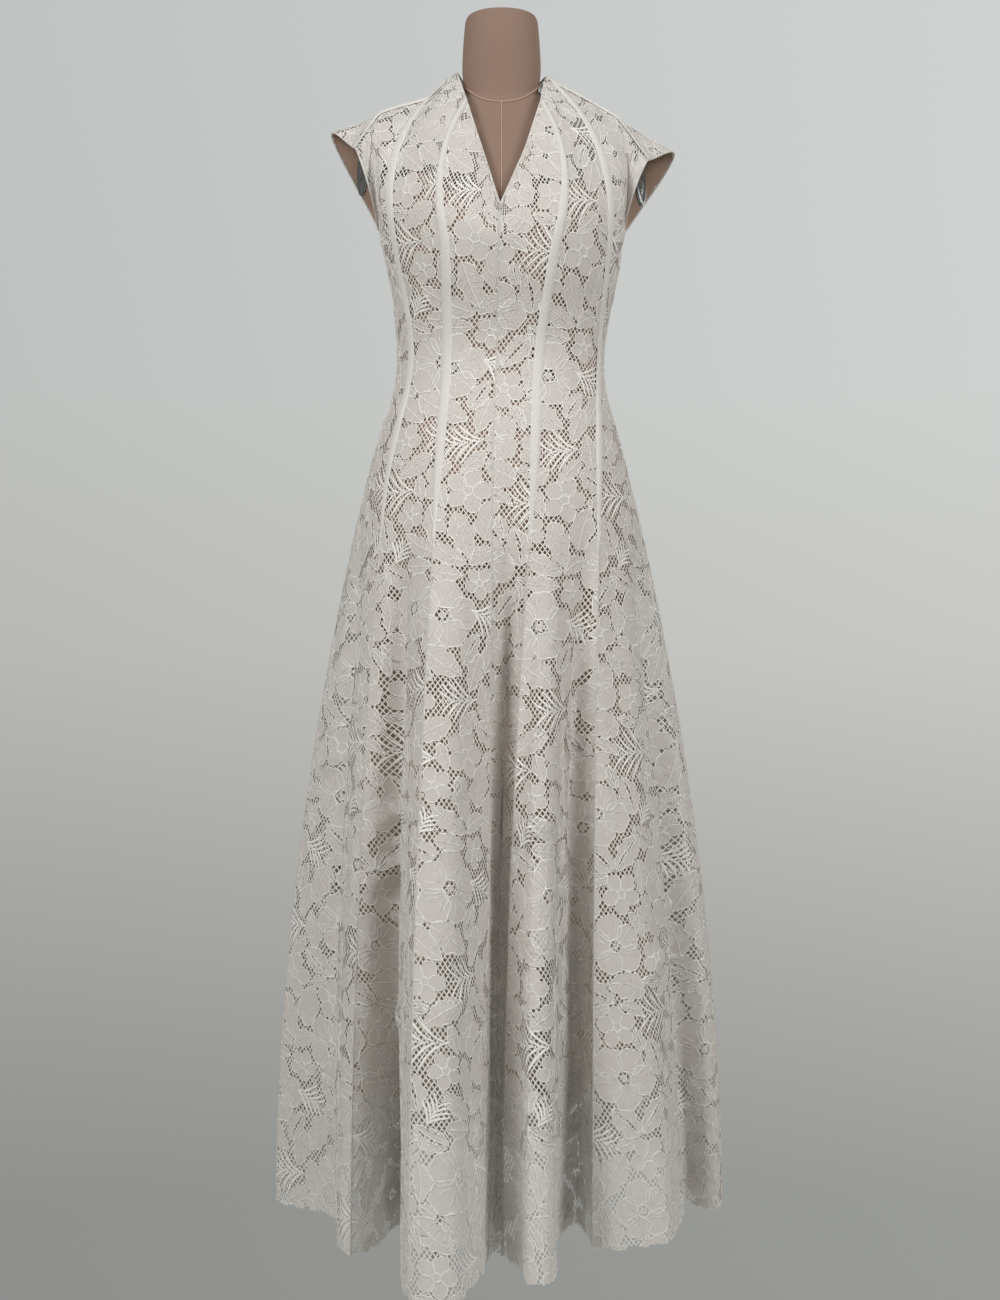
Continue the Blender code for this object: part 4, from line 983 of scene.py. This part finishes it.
def mesh_object(name, points, faces, materials, finish=None, flat=None, smooth=True):
    mesh = bpy.data.meshes.new(name)
    points = np.asarray(points, float)
    faces = np.asarray(faces)
    sides = faces.shape[1]
    mesh.vertices.add(len(points))
    mesh.vertices.foreach_set("co", points.ravel())
    mesh.loops.add(faces.size)
    mesh.loops.foreach_set("vertex_index", faces.ravel().astype(np.int32))
    mesh.polygons.add(len(faces))
    mesh.polygons.foreach_set("loop_start", np.arange(len(faces), dtype=np.int32) * sides)
    if finish is not None:
        mesh.polygons.foreach_set("material_index", np.asarray(finish, dtype=np.int32))
    mesh.polygons.foreach_set("use_smooth", np.full(len(faces), smooth))
    if flat is not None:
        layer = mesh.uv_layers.new(name="flat")
        layer.data.foreach_set("uv", np.asarray(flat)[faces.ravel()].ravel())
    mesh.update(calc_edges=True)
    mesh.validate()
    for each in materials:
        mesh.materials.append(each)
    made = bpy.data.objects.new(name, mesh)
    bpy.context.collection.objects.link(made)
    return made


def grid_faces(rows, columns, closed=False):
    """Quads of a grid whose points run row by row."""
    r, c = np.meshgrid(np.arange(rows - 1), np.arange(columns if closed else columns - 1), indexing="ij")
    r, c = r.ravel(), c.ravel()
    d = (c + 1) % columns
    return np.stack((r * columns + c, (r + 1) * columns + c, (r + 1) * columns + d, r * columns + d), axis=1)


def finished(made, slot, *nodes):
    """The piece rides on its body and stands for its solids."""
    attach(made, BODY)
    if nodes:
        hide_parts(*nodes)
    return made


def raised(points):
    """Heights above the floor."""
    return np.asarray(points, float) + (0.0, 0.0, STAND_RISE)


def net_sheet(gore, finish):
    rows, columns = gore.points.shape[:2]
    u = (np.linspace(0, 1, columns)[None, :] - 0.5) * gore.width[:, None] * gore.sign
    flat = np.stack((u, gore.depth), axis=2).reshape(-1, 2)
    made = mesh_object(f"net_{gore.name}", raised(gore.points.reshape(-1, 3)), grid_faces(rows, columns),
                       [finish], flat=flat)
    return finished(made, "lace", gore.name)


def motif_mesh(gore, arrays, finishes):
    """The motifs of the repeat that fall on a gore, cut off at its edges."""
    shift = np.array(CLOTH[gore.name][2:4])
    half = gore.width.max() / 2
    low = np.array((-half, gore.depth[0].min()))
    high = np.array((half, gore.depth[-1].max()))
    tile = np.array((TILE_WIDTH, TILE_HEIGHT))
    parts, count = [], 0
    for points, lifts, faces, finish, small, large in arrays:
        first = np.ceil((low - shift - large) / tile).astype(int)
        last = np.floor((high - shift - small) / tile).astype(int)
        for i in range(first[0], last[0] + 1):
            for j in range(first[1], last[1] + 1):
                flat = points + shift + tile * (i, j)
                row, column = gore.place_of(flat[:, 0], flat[:, 1])
                over = column > FINE_COLUMNS
                under = column < 0
                inside = np.clip(column, 0, FINE_COLUMNS - LAST)
                top, hem = (np.interp(inside, np.arange(FINE_COLUMNS + 1), gore.depth[k]) for k in (0, -1))
                above = flat[:, 1] < top
                below = flat[:, 1] > hem
                gone = [each[faces].all(axis=1) for each in (over, under, above, below)]
                kept = ~np.any(gone, axis=0)
                if not kept.any():
                    continue
                used, index = np.unique(faces[kept], return_inverse=True)
                place = gore.at(row[used], column[used], lifts[used])
                past = np.clip(flat[used, 1] - hem[used], 0, HEM_PAST)
                place[:, 2] -= past
                parts.append((place, index.reshape(-1, 3) + count, finish[kept], flat[used]))
                count += len(used)
    points, faces, finish, flat = (np.concatenate([part[k] for part in parts]) for k in range(4))
    corners = points[faces]
    area = np.linalg.norm(np.cross(corners[:, 1] - corners[:, 0], corners[:, 2] - corners[:, 0]), axis=1)
    kept = area > SPECK
    made = mesh_object(f"motifs_{gore.name}", raised(points), faces[kept], finishes, finish[kept], flat)
    return finished(made, "lace")


def lace(gores, net, fill, cord):
    arrays = motif_arrays(lace_tile())
    for gore in gores.values():
        sheet = net_sheet(gore, net)
        motifs = motif_mesh(gore, arrays, [fill, cord])


def strip(name, lines, profile, finish, slot, nodes):
    """A strip through rows of points, moved out along their normals by a profile across it."""
    grid, normals = lines
    points = grid + normals * np.asarray(profile)[None, :, None]
    made = mesh_object(name, raised(points.reshape(-1, 3)), grid_faces(*points.shape[:2]), [finish])
    return finished(made, slot, *nodes)


def edge_points(gore, edge, rows, distance, lift=0.0):
    """Points at a distance from a gore's inner or outer edge, one for each row."""
    share = np.interp(rows, np.arange(len(gore.width)), gore.width)
    column = np.abs(distance) / share * FINE_COLUMNS
    return gore.at(rows, FINE_COLUMNS - column if edge == "outer" else column, lift)


def seam_strip(first, second, edges, rows, half, many):
    """Points on both sides of the seam between two gores, and their normals."""
    grid, normals = [], []
    for share in np.linspace(-1, 1, many):
        gore, edge = (first, edges[0]) if share < 0 else (second, edges[1])
        grid.append(edge_points(gore, edge, rows, share * half))
        normals.append(edge_points(gore, edge, rows, share * half, 1.0) - grid[-1])
    return np.array(grid).transpose(1, 0, 2), np.array(normals).transpose(1, 0, 2)


def princess_seams(gores):
    """The seams between a centre, a middle and a side gore: face, kind, side and both gores."""
    for face in FACES:
        for side in SIDES:
            for kind, one, two in (("inner", "centre", "mid"), ("outer", "mid", "side")):
                yield face, kind, side, gores[f"{face}_{one}_{side}"], gores[f"{face}_{two}_{side}"]


def tapes(gores, finish):
    for face, kind, side, first, second in princess_seams(gores):
        rows = np.linspace(TAPE_STARTS[kind], HIP_ROW + TAPE_RUNS_ON, TAPE_ROWS)
        thin = np.interp(rows, (HIP_ROW - 4, HIP_ROW + TAPE_RUNS_ON), (1.0, 0.3))
        grid, normals = seam_strip(first, second, ("outer", "inner"), rows, TAPE_WIDTH / 2 * thin,
                                   TAPE_COLUMNS)
        name = f"tape_{face}_{kind}_{side}"
        strip(f"{name}_cloth", (grid, normals * thin[:, None, None]), TAPE_PROFILE, finish, "tape", [name])


def shoulder_tapes(gores, finish):
    """A tape over each shoulder seam, from near the neck to the armhole."""
    half, count = TAPE_WIDTH / 2, SHOULDER_STEPS
    tries = np.linspace(0, FINE_COLUMNS, SHOULDER_TRIES)
    for side in SIDES:
        grid, normals = [], []
        for part, start in (("mid", SHOULDER_FROM), ("side", 0.0)):
            front, back = gores[f"front_{part}_{side}"], gores[f"back_{part}_{side}"]
            columns = np.linspace(start * FINE_COLUMNS, FINE_COLUMNS, count)
            seam = front.at(np.zeros(count), columns)
            behind = back.at(np.zeros(len(tries)), tries)
            others = tries[[int(np.argmin(np.sum((behind - p) ** 2, axis=1))) for p in seam]]
            for offset in np.linspace(-half, half, TAPE_COLUMNS):
                gore, column = (front, columns) if offset < 0 else (back, others)
                step = gore.at(np.ones(count), column) - gore.at(np.zeros(count), column)
                row = abs(offset) / np.linalg.norm(step, axis=1)
                grid.append(gore.at(row, column))
                normals.append(gore.at(row, column, 1.0) - grid[-1])
        lines = []
        for found in (np.array(grid), np.array(normals)):
            joined = np.concatenate((found[:TAPE_COLUMNS, :-1], found[TAPE_COLUMNS:]), axis=1)
            lines.append(joined.transpose(1, 0, 2))
        name = f"tape_shoulder_{side}"
        strip(f"{name}_cloth", lines, np.array(TAPE_PROFILE) + SHOULDER_LIFT, finish, "tape", [name])


def seam_ridges(gores, finish):
    """The narrow sewn ridges of the seams that have no tape."""
    pairs = []
    for face, start in zip(FACES, (1.0, HIP_ROW + 3.0)):
        pairs.append((f"seam_{face}_centre", gores[f"{face}_centre_left"], gores[f"{face}_centre_right"],
                      ("inner", "inner"), start))
        pairs += [(f"seam_{face}_{kind}_{side}", first, second, ("outer", "inner"),
                   HIP_ROW + TAPE_RUNS_ON - 1.0)
                  for where, kind, side, first, second in princess_seams(gores) if where == face]
    pairs += [(f"seam_side_{side}", gores[f"front_side_{side}"], gores[f"back_side_{side}"],
               ("outer", "outer"), ARMHOLE_ROWS * UPPER_STEPS + 0.5) for side in SIDES]
    for name, first, second, edges, start in pairs:
        rows = np.linspace(start, len(first.points) - 1, int(len(first.points) * 2 - 2 * start))
        grid, normals = seam_strip(first, second, edges, rows, SEAM_HALF, len(SEAM_PROFILE))
        wave = 1 + 0.25 * np.sin(rows * 2.3) * np.sin(rows * 0.7 + 1.0)
        strip(name, (grid, normals * wave[:, None, None]), SEAM_PROFILE, finish, "lace", [])


def strand(name, line, radius, finish, slot, nodes, closed=False):
    """A round strand along a line."""
    curve = bpy.data.curves.new(name, "CURVE")
    curve.dimensions = "3D"
    curve.bevel_depth = radius
    curve.bevel_resolution = 2
    curve.use_fill_caps = not closed
    spline = curve.splines.new("POLY")
    spline.points.add(len(line) - 1)
    spline.points.foreach_set("co", np.column_stack((line, np.ones(len(line)))).ravel())
    spline.use_cyclic_u = closed
    spline.use_smooth = True
    curve.materials.append(finish)
    made = bpy.data.objects.new(name, curve)
    bpy.context.collection.objects.link(made)
    return finished(made, slot, *nodes)


def bindings(gores, finish):
    for side in SIDES:
        line = []
        for face in FACES:
            centre, mid = gores[f"{face}_centre_{side}"], gores[f"{face}_mid_{side}"]
            along = np.linspace(0.0, FINE_COLUMNS, NECK_STEPS)
            run = list(centre.at(np.zeros(NECK_STEPS), along, EDGE_DROP))
            along = np.linspace(0.0, mid.half, NAPE_STEPS + 1)[1:]
            run += list(mid.at(np.zeros(NAPE_STEPS), along, EDGE_DROP))
            line += run if face == "front" else run[::-1][1:]
        strand(f"neck_edge_{side}", raised(line), EDGE_RADIUS, finish, "tape", [f"neck_binding_{side}"])
        rows = np.linspace(0, ARMHOLE_ROWS * UPPER_STEPS, ARMHOLE_STEPS)
        ends = np.full(len(rows), float(FINE_COLUMNS))
        front, back = (gores[f"{face}_side_{side}"].at(rows, ends, EDGE_DROP) for face in FACES)
        strand(f"armhole_edge_{side}", raised(np.concatenate((front, back[-2:0:-1]))), EDGE_RADIUS, finish,
               "tape", [f"armhole_binding_{side}"], closed=True)


def lining_rings(gores):
    """Rings of the slip, through each seam and each deepest fold, set in from the lace."""
    rings, half = [], 0
    last = int(np.argmax(gores["front_centre_left"].points[:, 0, 2] < LINING_HEM))
    order = [(part, "left") for part in ("side", "mid", "centre")]
    order += [(part, "right") for part in ("centre", "mid", "side")]
    for row in range(LINING_TOP_ROW * UPPER_STEPS, last + 1):
        faces = []
        for face in FACES:
            run, deep = [], []
            for part, side in order:
                gore = gores[f"{face}_{part}_{side}"]
                first = float(FINE_COLUMNS) if side == "left" else 0.0
                columns = np.array((first, gore.valley[row]))
                run += list(gore.at(np.full(2, float(row)), columns, -LINING_GAP))
                deep += [False, gore.has_valley]
            run.append(gore.at(np.array((float(row),)), np.array((float(FINE_COLUMNS),)), -LINING_GAP)[0])
            deep.append(False)
            faces.append((np.array(run), np.array(deep)))
        (front, front_deep), (back, back_deep) = faces
        half = len(front)
        points = np.concatenate((front, back[::-1][1:-1]))
        deep = np.concatenate((front_deep, back_deep[::-1][1:-1]))
        share = (row - HIP_ROW) / SKIRT_STEPS / LINING_SETTLES
        rings.append(hung_ring(points, deep, min(max(share, 0.0), 1.0)))
    return np.array(rings), half


def hung_ring(points, deep, share):
    """The slip below the hip: it touches the deep folds and hardly enters the lobes."""
    count = len(points)
    hung = points.copy()
    drawn = unit(points * np.array((1.0, 1.0, 0.0))) * LINING_DRAWN * share
    for i in range(count):
        if deep[i]:
            continue
        before = next(k for k in range(1, count) if deep[(i - k) % count])
        after = next(k for k in range(1, count) if deep[(i + k) % count])
        one, two = points[(i - before) % count], points[(i + after) % count]
        chord = one + (two - one) * before / (before + after)
        hung[i] = points[i] + (chord - points[i]) * share * LINING_FLATTER
    return hung - drawn


def hung_sheet(name, grid, finish, *solids):
    """A sheet of the slip through rows of points."""
    made = mesh_object(name, raised(grid.reshape(-1, 3)), grid_faces(*grid.shape[:2]), [finish])
    finished(made, "lining", *solids)


def lining(gores, finish):
    """The slip in front and behind, and what shows of it inside the armholes."""
    rings, half = lining_rings(gores)
    count = rings.shape[1]
    around = np.concatenate((rings[:, -3:], rings, rings[:, :4]), axis=1)
    for face, first, last in (("front", 0, half - 1), ("back", half - 1, count)):
        where = np.linspace(first, last, (last - first) * SLIP_STEPS + 1)
        grid = np.array([smooth_read(np.arange(-3, count + 4), ring, where) for ring in around])
        hung_sheet(f"slip_{face}", grid, finish, f"lining_{face}")
    rows = np.arange(1.0, ARMHOLE_ROWS * UPPER_STEPS + FACING_ROWS_ON)
    columns = np.linspace(FACING_FROM, FINE_COLUMNS - FACING_SHORT, FACING_COLUMNS)
    for side in SIDES:
        row, column = np.meshgrid(rows, columns, indexing="ij")
        grid = gores[f"back_side_{side}"].at(row.ravel(), column.ravel(), -FACING_GAP)
        hung_sheet(f"slip_armhole_{side}", grid.reshape(*row.shape, 3), finish)


def oval(row, grow=0.0):
    """One ring of the form: height, half width, front, back, tilt."""
    height, half, front, back, tilt = row
    angle = turns(FORM_POINTS)
    x = np.sign(np.cos(angle)) * np.abs(np.cos(angle)) ** (2 / FORM_POWER) * (half + grow)
    y = np.sign(np.sin(angle)) * np.abs(np.sin(angle)) ** (2 / FORM_POWER)
    y *= np.where(y > 0, back + grow, front + grow)
    return np.column_stack((x + FORM_X, y, height + tilt * y))


def form_rows(table):
    """The table's rows with smooth ones between them."""
    table = np.array(table)
    places = np.linspace(0, len(table) - 1, (len(table) - 1) * FORM_STEPS + 1)
    return smooth_read(np.arange(len(table)), table, places)


def ring_body(name, rings, finish, slot, nodes):
    """A closed smooth body through rings, flat at both ends."""
    count = len(rings[0])
    points = list(np.concatenate(rings))
    faces = [tuple(face) for face in grid_faces(len(rings), count, closed=True)]
    mesh = bpy.data.meshes.new(name)
    faces.append(tuple(range(count)))
    faces.append(tuple(range(count * len(rings) - 1, count * (len(rings) - 1) - 1, -1)))
    mesh.from_pydata([tuple(p) for p in raised(points)], [], faces)
    mesh.materials.append(finish)
    mesh.update()
    made = bpy.data.objects.new(name, mesh)
    bpy.context.collection.objects.link(made)
    mesh.shade_smooth()
    mesh.polygons[-1].use_smooth = False
    mesh.polygons[-2].use_smooth = False
    return finished(made, slot, *nodes)


def neck_seam(rings, foot):
    """A line on the form that dips in front and rises at the sides of the neck's foot."""
    climb = np.zeros(rings.shape[:2])
    climb[1:] = np.cumsum(steps_along(rings, 0), axis=0)
    climb -= climb[foot]
    line = []
    for column, angle in enumerate(turns(FORM_POINTS)):
        level = NECK_SEAM_UP * math.cos(angle) ** 2 - NECK_SEAM_DOWN * max(0.0, -math.sin(angle)) ** 2
        line.append([np.interp(level, climb[:, column], rings[:, column, axis]) for axis in range(3)])
    return np.array(line)


def dress_form(skin, seam, metal):
    torso, neck = form_rows(FORM_TORSO), form_rows(FORM_NECK)
    rows = (*torso, *neck[1:])
    ring_body("form_body", [oval(row) for row in rows], skin, "form_cloth", ["form_torso", "form_neck"])
    lines = {"neck": neck_seam(np.array([oval(row, NECK_SEAM_LIFT) for row in rows]), len(torso) - 1)}
    lowest = lines["neck"][lines["neck"][:, 2].argmin()]
    low = torso[FORM_SEAM_ROW:]
    front = np.array([(FORM_X, -row[2] - FORM_SEAM_LIFT, row[0] - row[4] * row[2]) for row in low])
    lines["front"] = np.vstack((front[front[:, 2] < lowest[2]], lowest))
    lines["back"] = np.array([(FORM_X, row[3] + FORM_SEAM_LIFT, row[0] + row[4] * row[3]) for row in low])
    for name, line in lines.items():
        strand(f"form_seam_{name}", raised(line), FORM_SEAMS[name], seam, "form_cloth", [],
               closed=name == "neck")
    thick, deep, tall = PLATE_HALF
    for side, sign in zip(SIDES, (-1, 1)):
        outward = np.array((sign * math.cos(PLATE_TURN), -math.sin(PLATE_TURN), 0.0))
        along = np.array((sign * math.sin(PLATE_TURN), math.cos(PLATE_TURN), 0.0))
        t = turns(PLATE_POINTS) * sign
        rings = [PLATE_CENTRE[sign] + outward * (thick * out) + np.outer(np.sin(t) * deep * size, along)
                 + np.outer(np.cos(t) * tall * size, (0.0, 0.0, 1.0)) for out, size in PLATE_PROFILE]
        ring_body(f"arm_plate_{side}", rings, metal, "plate_metal", [f"form_arm_plate_{side}"])


def stand(finish):
    t = turns(STAND_POINTS)
    for name, ((x, y), profile) in STAND.items():
        rings = [np.column_stack((x + r * np.cos(t), y + r * np.sin(t), np.full(len(t), h - STAND_RISE)))
                 for r, h in profile]
        ring_body(f"stand_{name}", rings, finish, "stand_metal", [f"form_{name}"])


def zip_teeth(gores, finish):
    """The closed chain of the zip down the centre back seam."""
    left, right = gores["back_centre_left"], gores["back_centre_right"]
    length = left.down - left.down[0]
    rows = np.interp(np.arange(ZIP_FROM, ZIP_TO, ZIP_PITCH), length, np.arange(len(length)))
    points, faces = [], []
    cube = np.array([(x, y, z) for x in (-1, 1) for y in (-1, 1) for z in (-1, 1)], float)
    quads = np.array(((0, 1, 3, 2), (4, 6, 7, 5), (0, 4, 5, 1), (2, 3, 7, 6), (0, 2, 6, 4), (1, 5, 7, 3)))
    inner = np.zeros(len(rows))
    centre = (left.at(rows, inner) + right.at(rows, inner)) / 2
    out = unit(left.at(rows, inner, 1.0) - centre)
    down = unit(np.gradient(centre, axis=0))
    aside = np.cross(out, down)
    for k in range(len(rows)):
        shift = TOOTH_ASIDE if k % 2 else -TOOTH_ASIDE
        basis = np.stack([way[k] * half for way, half in zip((aside, out, down), TOOTH_HALF)])
        points.append(centre[k] + aside[k] * shift + out[k] * TOOTH_HALF[1] + cube @ basis)
        faces.append(quads + 8 * k)
    made = mesh_object("zip_chain", raised(np.concatenate(points)), np.concatenate(faces), [finish],
                       smooth=False)
    finished(made, "zip_metal")


CAMERA_AT, LENS, SENSOR = (0.0, -1.98, 0.97), 42.15, 36.0
AIR, AIR_COLOUR = 0.20, (1.0, 0.955, 0.89)
FLOOR_AT, FLOOR_SIZE = (0.0, -0.61, -0.0005), (3.0, 1.78)
LIGHTS = (
    # name, place, width, power, what it looks at
    ("key", (-2.1, -2.2, 2.5), 1.2, 62.0, (0.0, 0.0, 1.2)),
    ("ceiling", (0.3, -1.5, 3.5), 2.0, 7.0, (0.0, 0.0, 1.2)),
    ("fill", (2.2, -2.2, 2.3), 1.4, 54.0, (0.0, 0.0, 1.1)),
    ("back", (0.6, 2.8, 2.9), 2.4, 32.0, (0.0, 0.0, 1.4)),
)
WALL_RADIUS, WALL_RINGS, WALL_POINTS = 14.0, 25, 48
# Painted light on the surround: its glow is stronger to the right, as on a wall lit from that side.
WALL_PAINTED_LIGHT_ACROSS = (-5.0, 5.0, 0.95, 1.14)    # the surround is brighter to the right: x from and to, strengths
WALL_PAINTED_SHADE_COLOURS = (
    # height, colour of the surround as it shows, with painted shade darker downwards
    (-14.0, (0.250, 0.255, 0.245)), (-4.2, (0.285, 0.292, 0.280)), (-1.4, (0.400, 0.400, 0.385)),
    (0.97, (0.505, 0.510, 0.490)), (3.5, (0.545, 0.560, 0.545)), (14.0, (0.560, 0.585, 0.580)),
)


def surround():
    """A wide ball around the stage that glows and is seen but gives no light: pale, with painted shade that
    makes it darker below and painted light that makes it brighter to the right.
    """
    t = np.linspace(-math.pi / 2, math.pi / 2, WALL_RINGS)
    turn = turns(WALL_POINTS)
    points = [(WALL_RADIUS * math.cos(a) * math.cos(b), WALL_RADIUS * math.cos(a) * math.sin(b),
               CAMERA_AT[2] + WALL_RADIUS * math.sin(a)) for a in t for b in turn]
    made = bpy.data.materials.new("surround")
    made.use_nodes = True
    tree = made.node_tree
    tree.nodes.remove(tree.nodes["Principled BSDF"])
    glow, ramp = node(made, "ShaderNodeEmission"), node(made, "ShaderNodeValToRGB")
    axes = place_axes(made)
    tree.links.new(glow.outputs[0], tree.nodes["Material Output"].inputs["Surface"])
    # Painted shade: the surround's glow darkens downwards.
    tree.links.new(map_range(made, axes["Z"], -WALL_RADIUS, WALL_RADIUS), ramp.inputs["Fac"])
    tree.links.new(ramp.outputs["Color"], glow.inputs["Color"])
    # Painted light: the surround's glow is brighter to the right.
    tree.links.new(map_range(made, axes["X"], *WALL_PAINTED_LIGHT_ACROSS), glow.inputs["Strength"])
    stops = ramp.color_ramp.elements
    for k, (height, colour) in enumerate(WALL_PAINTED_SHADE_COLOURS):
        share = (height + WALL_RADIUS) / (2 * WALL_RADIUS)
        stop = stops[k] if k < 2 else stops.new(share)
        stop.position = share
        stop.color = (*colour, 1.0)
    ball = mesh_object("surround", points, grid_faces(len(t), len(turn), closed=True), [made])
    ball.visible_diffuse = False
    ball.visible_glossy = False
    ball.visible_shadow = False


def studio():
    """A pale floor, a pale surround with painted shade that darkens downwards, soft light and the camera."""
    bpy.ops.mesh.primitive_plane_add(size=1.0, location=FLOOR_AT)
    floor = bpy.context.object
    floor.name = "floor"
    floor.scale = (*FLOOR_SIZE, 1.0)
    floor.data.materials.append(material("floor_grey", (0.42, 0.43, 0.41), 0.9))
    world = bpy.data.worlds.new("air")
    bpy.context.scene.world = world
    world.use_nodes = True
    background = world.node_tree.nodes["Background"]
    background.inputs["Color"].default_value = (*AIR_COLOUR, 1.0)
    background.inputs["Strength"].default_value = AIR
    surround()
    for name, place, width, power, aim in LIGHTS:
        data = bpy.data.lights.new(name, "AREA")
        data.shape = "SQUARE"
        data.size = width
        data.energy = power
        lamp = bpy.data.objects.new(name, data)
        bpy.context.collection.objects.link(lamp)
        lamp.location = place
        lamp.rotation_mode = "QUATERNION"
        lamp.rotation_quaternion = (Vector(aim) - Vector(place)).to_track_quat("-Z", "Y")
    lens = bpy.data.cameras.new("camera")
    lens.sensor_width = SENSOR
    lens.lens = LENS
    camera = bpy.data.objects.new("camera", lens)
    bpy.context.collection.objects.link(camera)
    camera.location = CAMERA_AT
    camera.rotation_euler = (math.pi / 2, 0.0, 0.0)
    bpy.context.scene.camera = camera
    bpy.context.scene.view_settings.view_transform = "Standard"


def zip_finish(finish):
    for name in ("zip_slider", "zip_pull"):
        solid = frame["nodes"][name]
        solid.data.materials.clear()
        solid.data.materials.append(finish)


def main():
    clear_defaults()
    gores = all_gores()
    share_normals(gores)
    net = net_material("net", (0.74, 0.715, 0.67))
    fill = material("lace_cloth", (0.75, 0.715, 0.67), 0.8, sheen=0.2)
    weave(fill, 700.0, 0.9)
    shader_input(fill, "Alpha").default_value = FILL_ALPHA
    cord = material("lace_cord", (0.84, 0.82, 0.78), 0.6, sheen=0.2)
    tape = material("tape_cloth", (0.68, 0.66, 0.62), 0.75)
    weave(tape, 500.0, 0.8)
    seam = material("seam_cloth", (0.72, 0.70, 0.66), 0.8)
    shader_input(seam, "Alpha").default_value = SEAM_ALPHA
    nude = material("slip_cloth", SLIP_BROWN, 0.55, sheen=0.15)
    weave(nude, 60.0, 0.3, 0.001, (1.0, 1.0, 0.25))
    fade_down(nude, SLIP_BROWN, SLIP_PALE)
    skin = material("form_skin", (0.265, 0.178, 0.135), 0.75, sheen=0.1)
    weave(skin, 500.0, 0.4)
    skin_seam = material("form_seam", (0.46, 0.31, 0.24), 0.7)
    grey = material("plate_grey", (0.30, 0.32, 0.32), 0.22, 0.95)
    pale = material("stand_pale", (0.60, 0.61, 0.59), 0.4)
    white = material("zip_white", (0.80, 0.79, 0.76), 0.4)
    lace(gores, net, fill, cord)
    tapes(gores, tape)
    shoulder_tapes(gores, tape)
    seam_ridges(gores, seam)
    bindings(gores, tape)
    lining(gores, nude)
    dress_form(skin, skin_seam, grey)
    stand(pale)
    zip_teeth(gores, white)
    zip_finish(white)
    studio()


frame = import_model()
main()
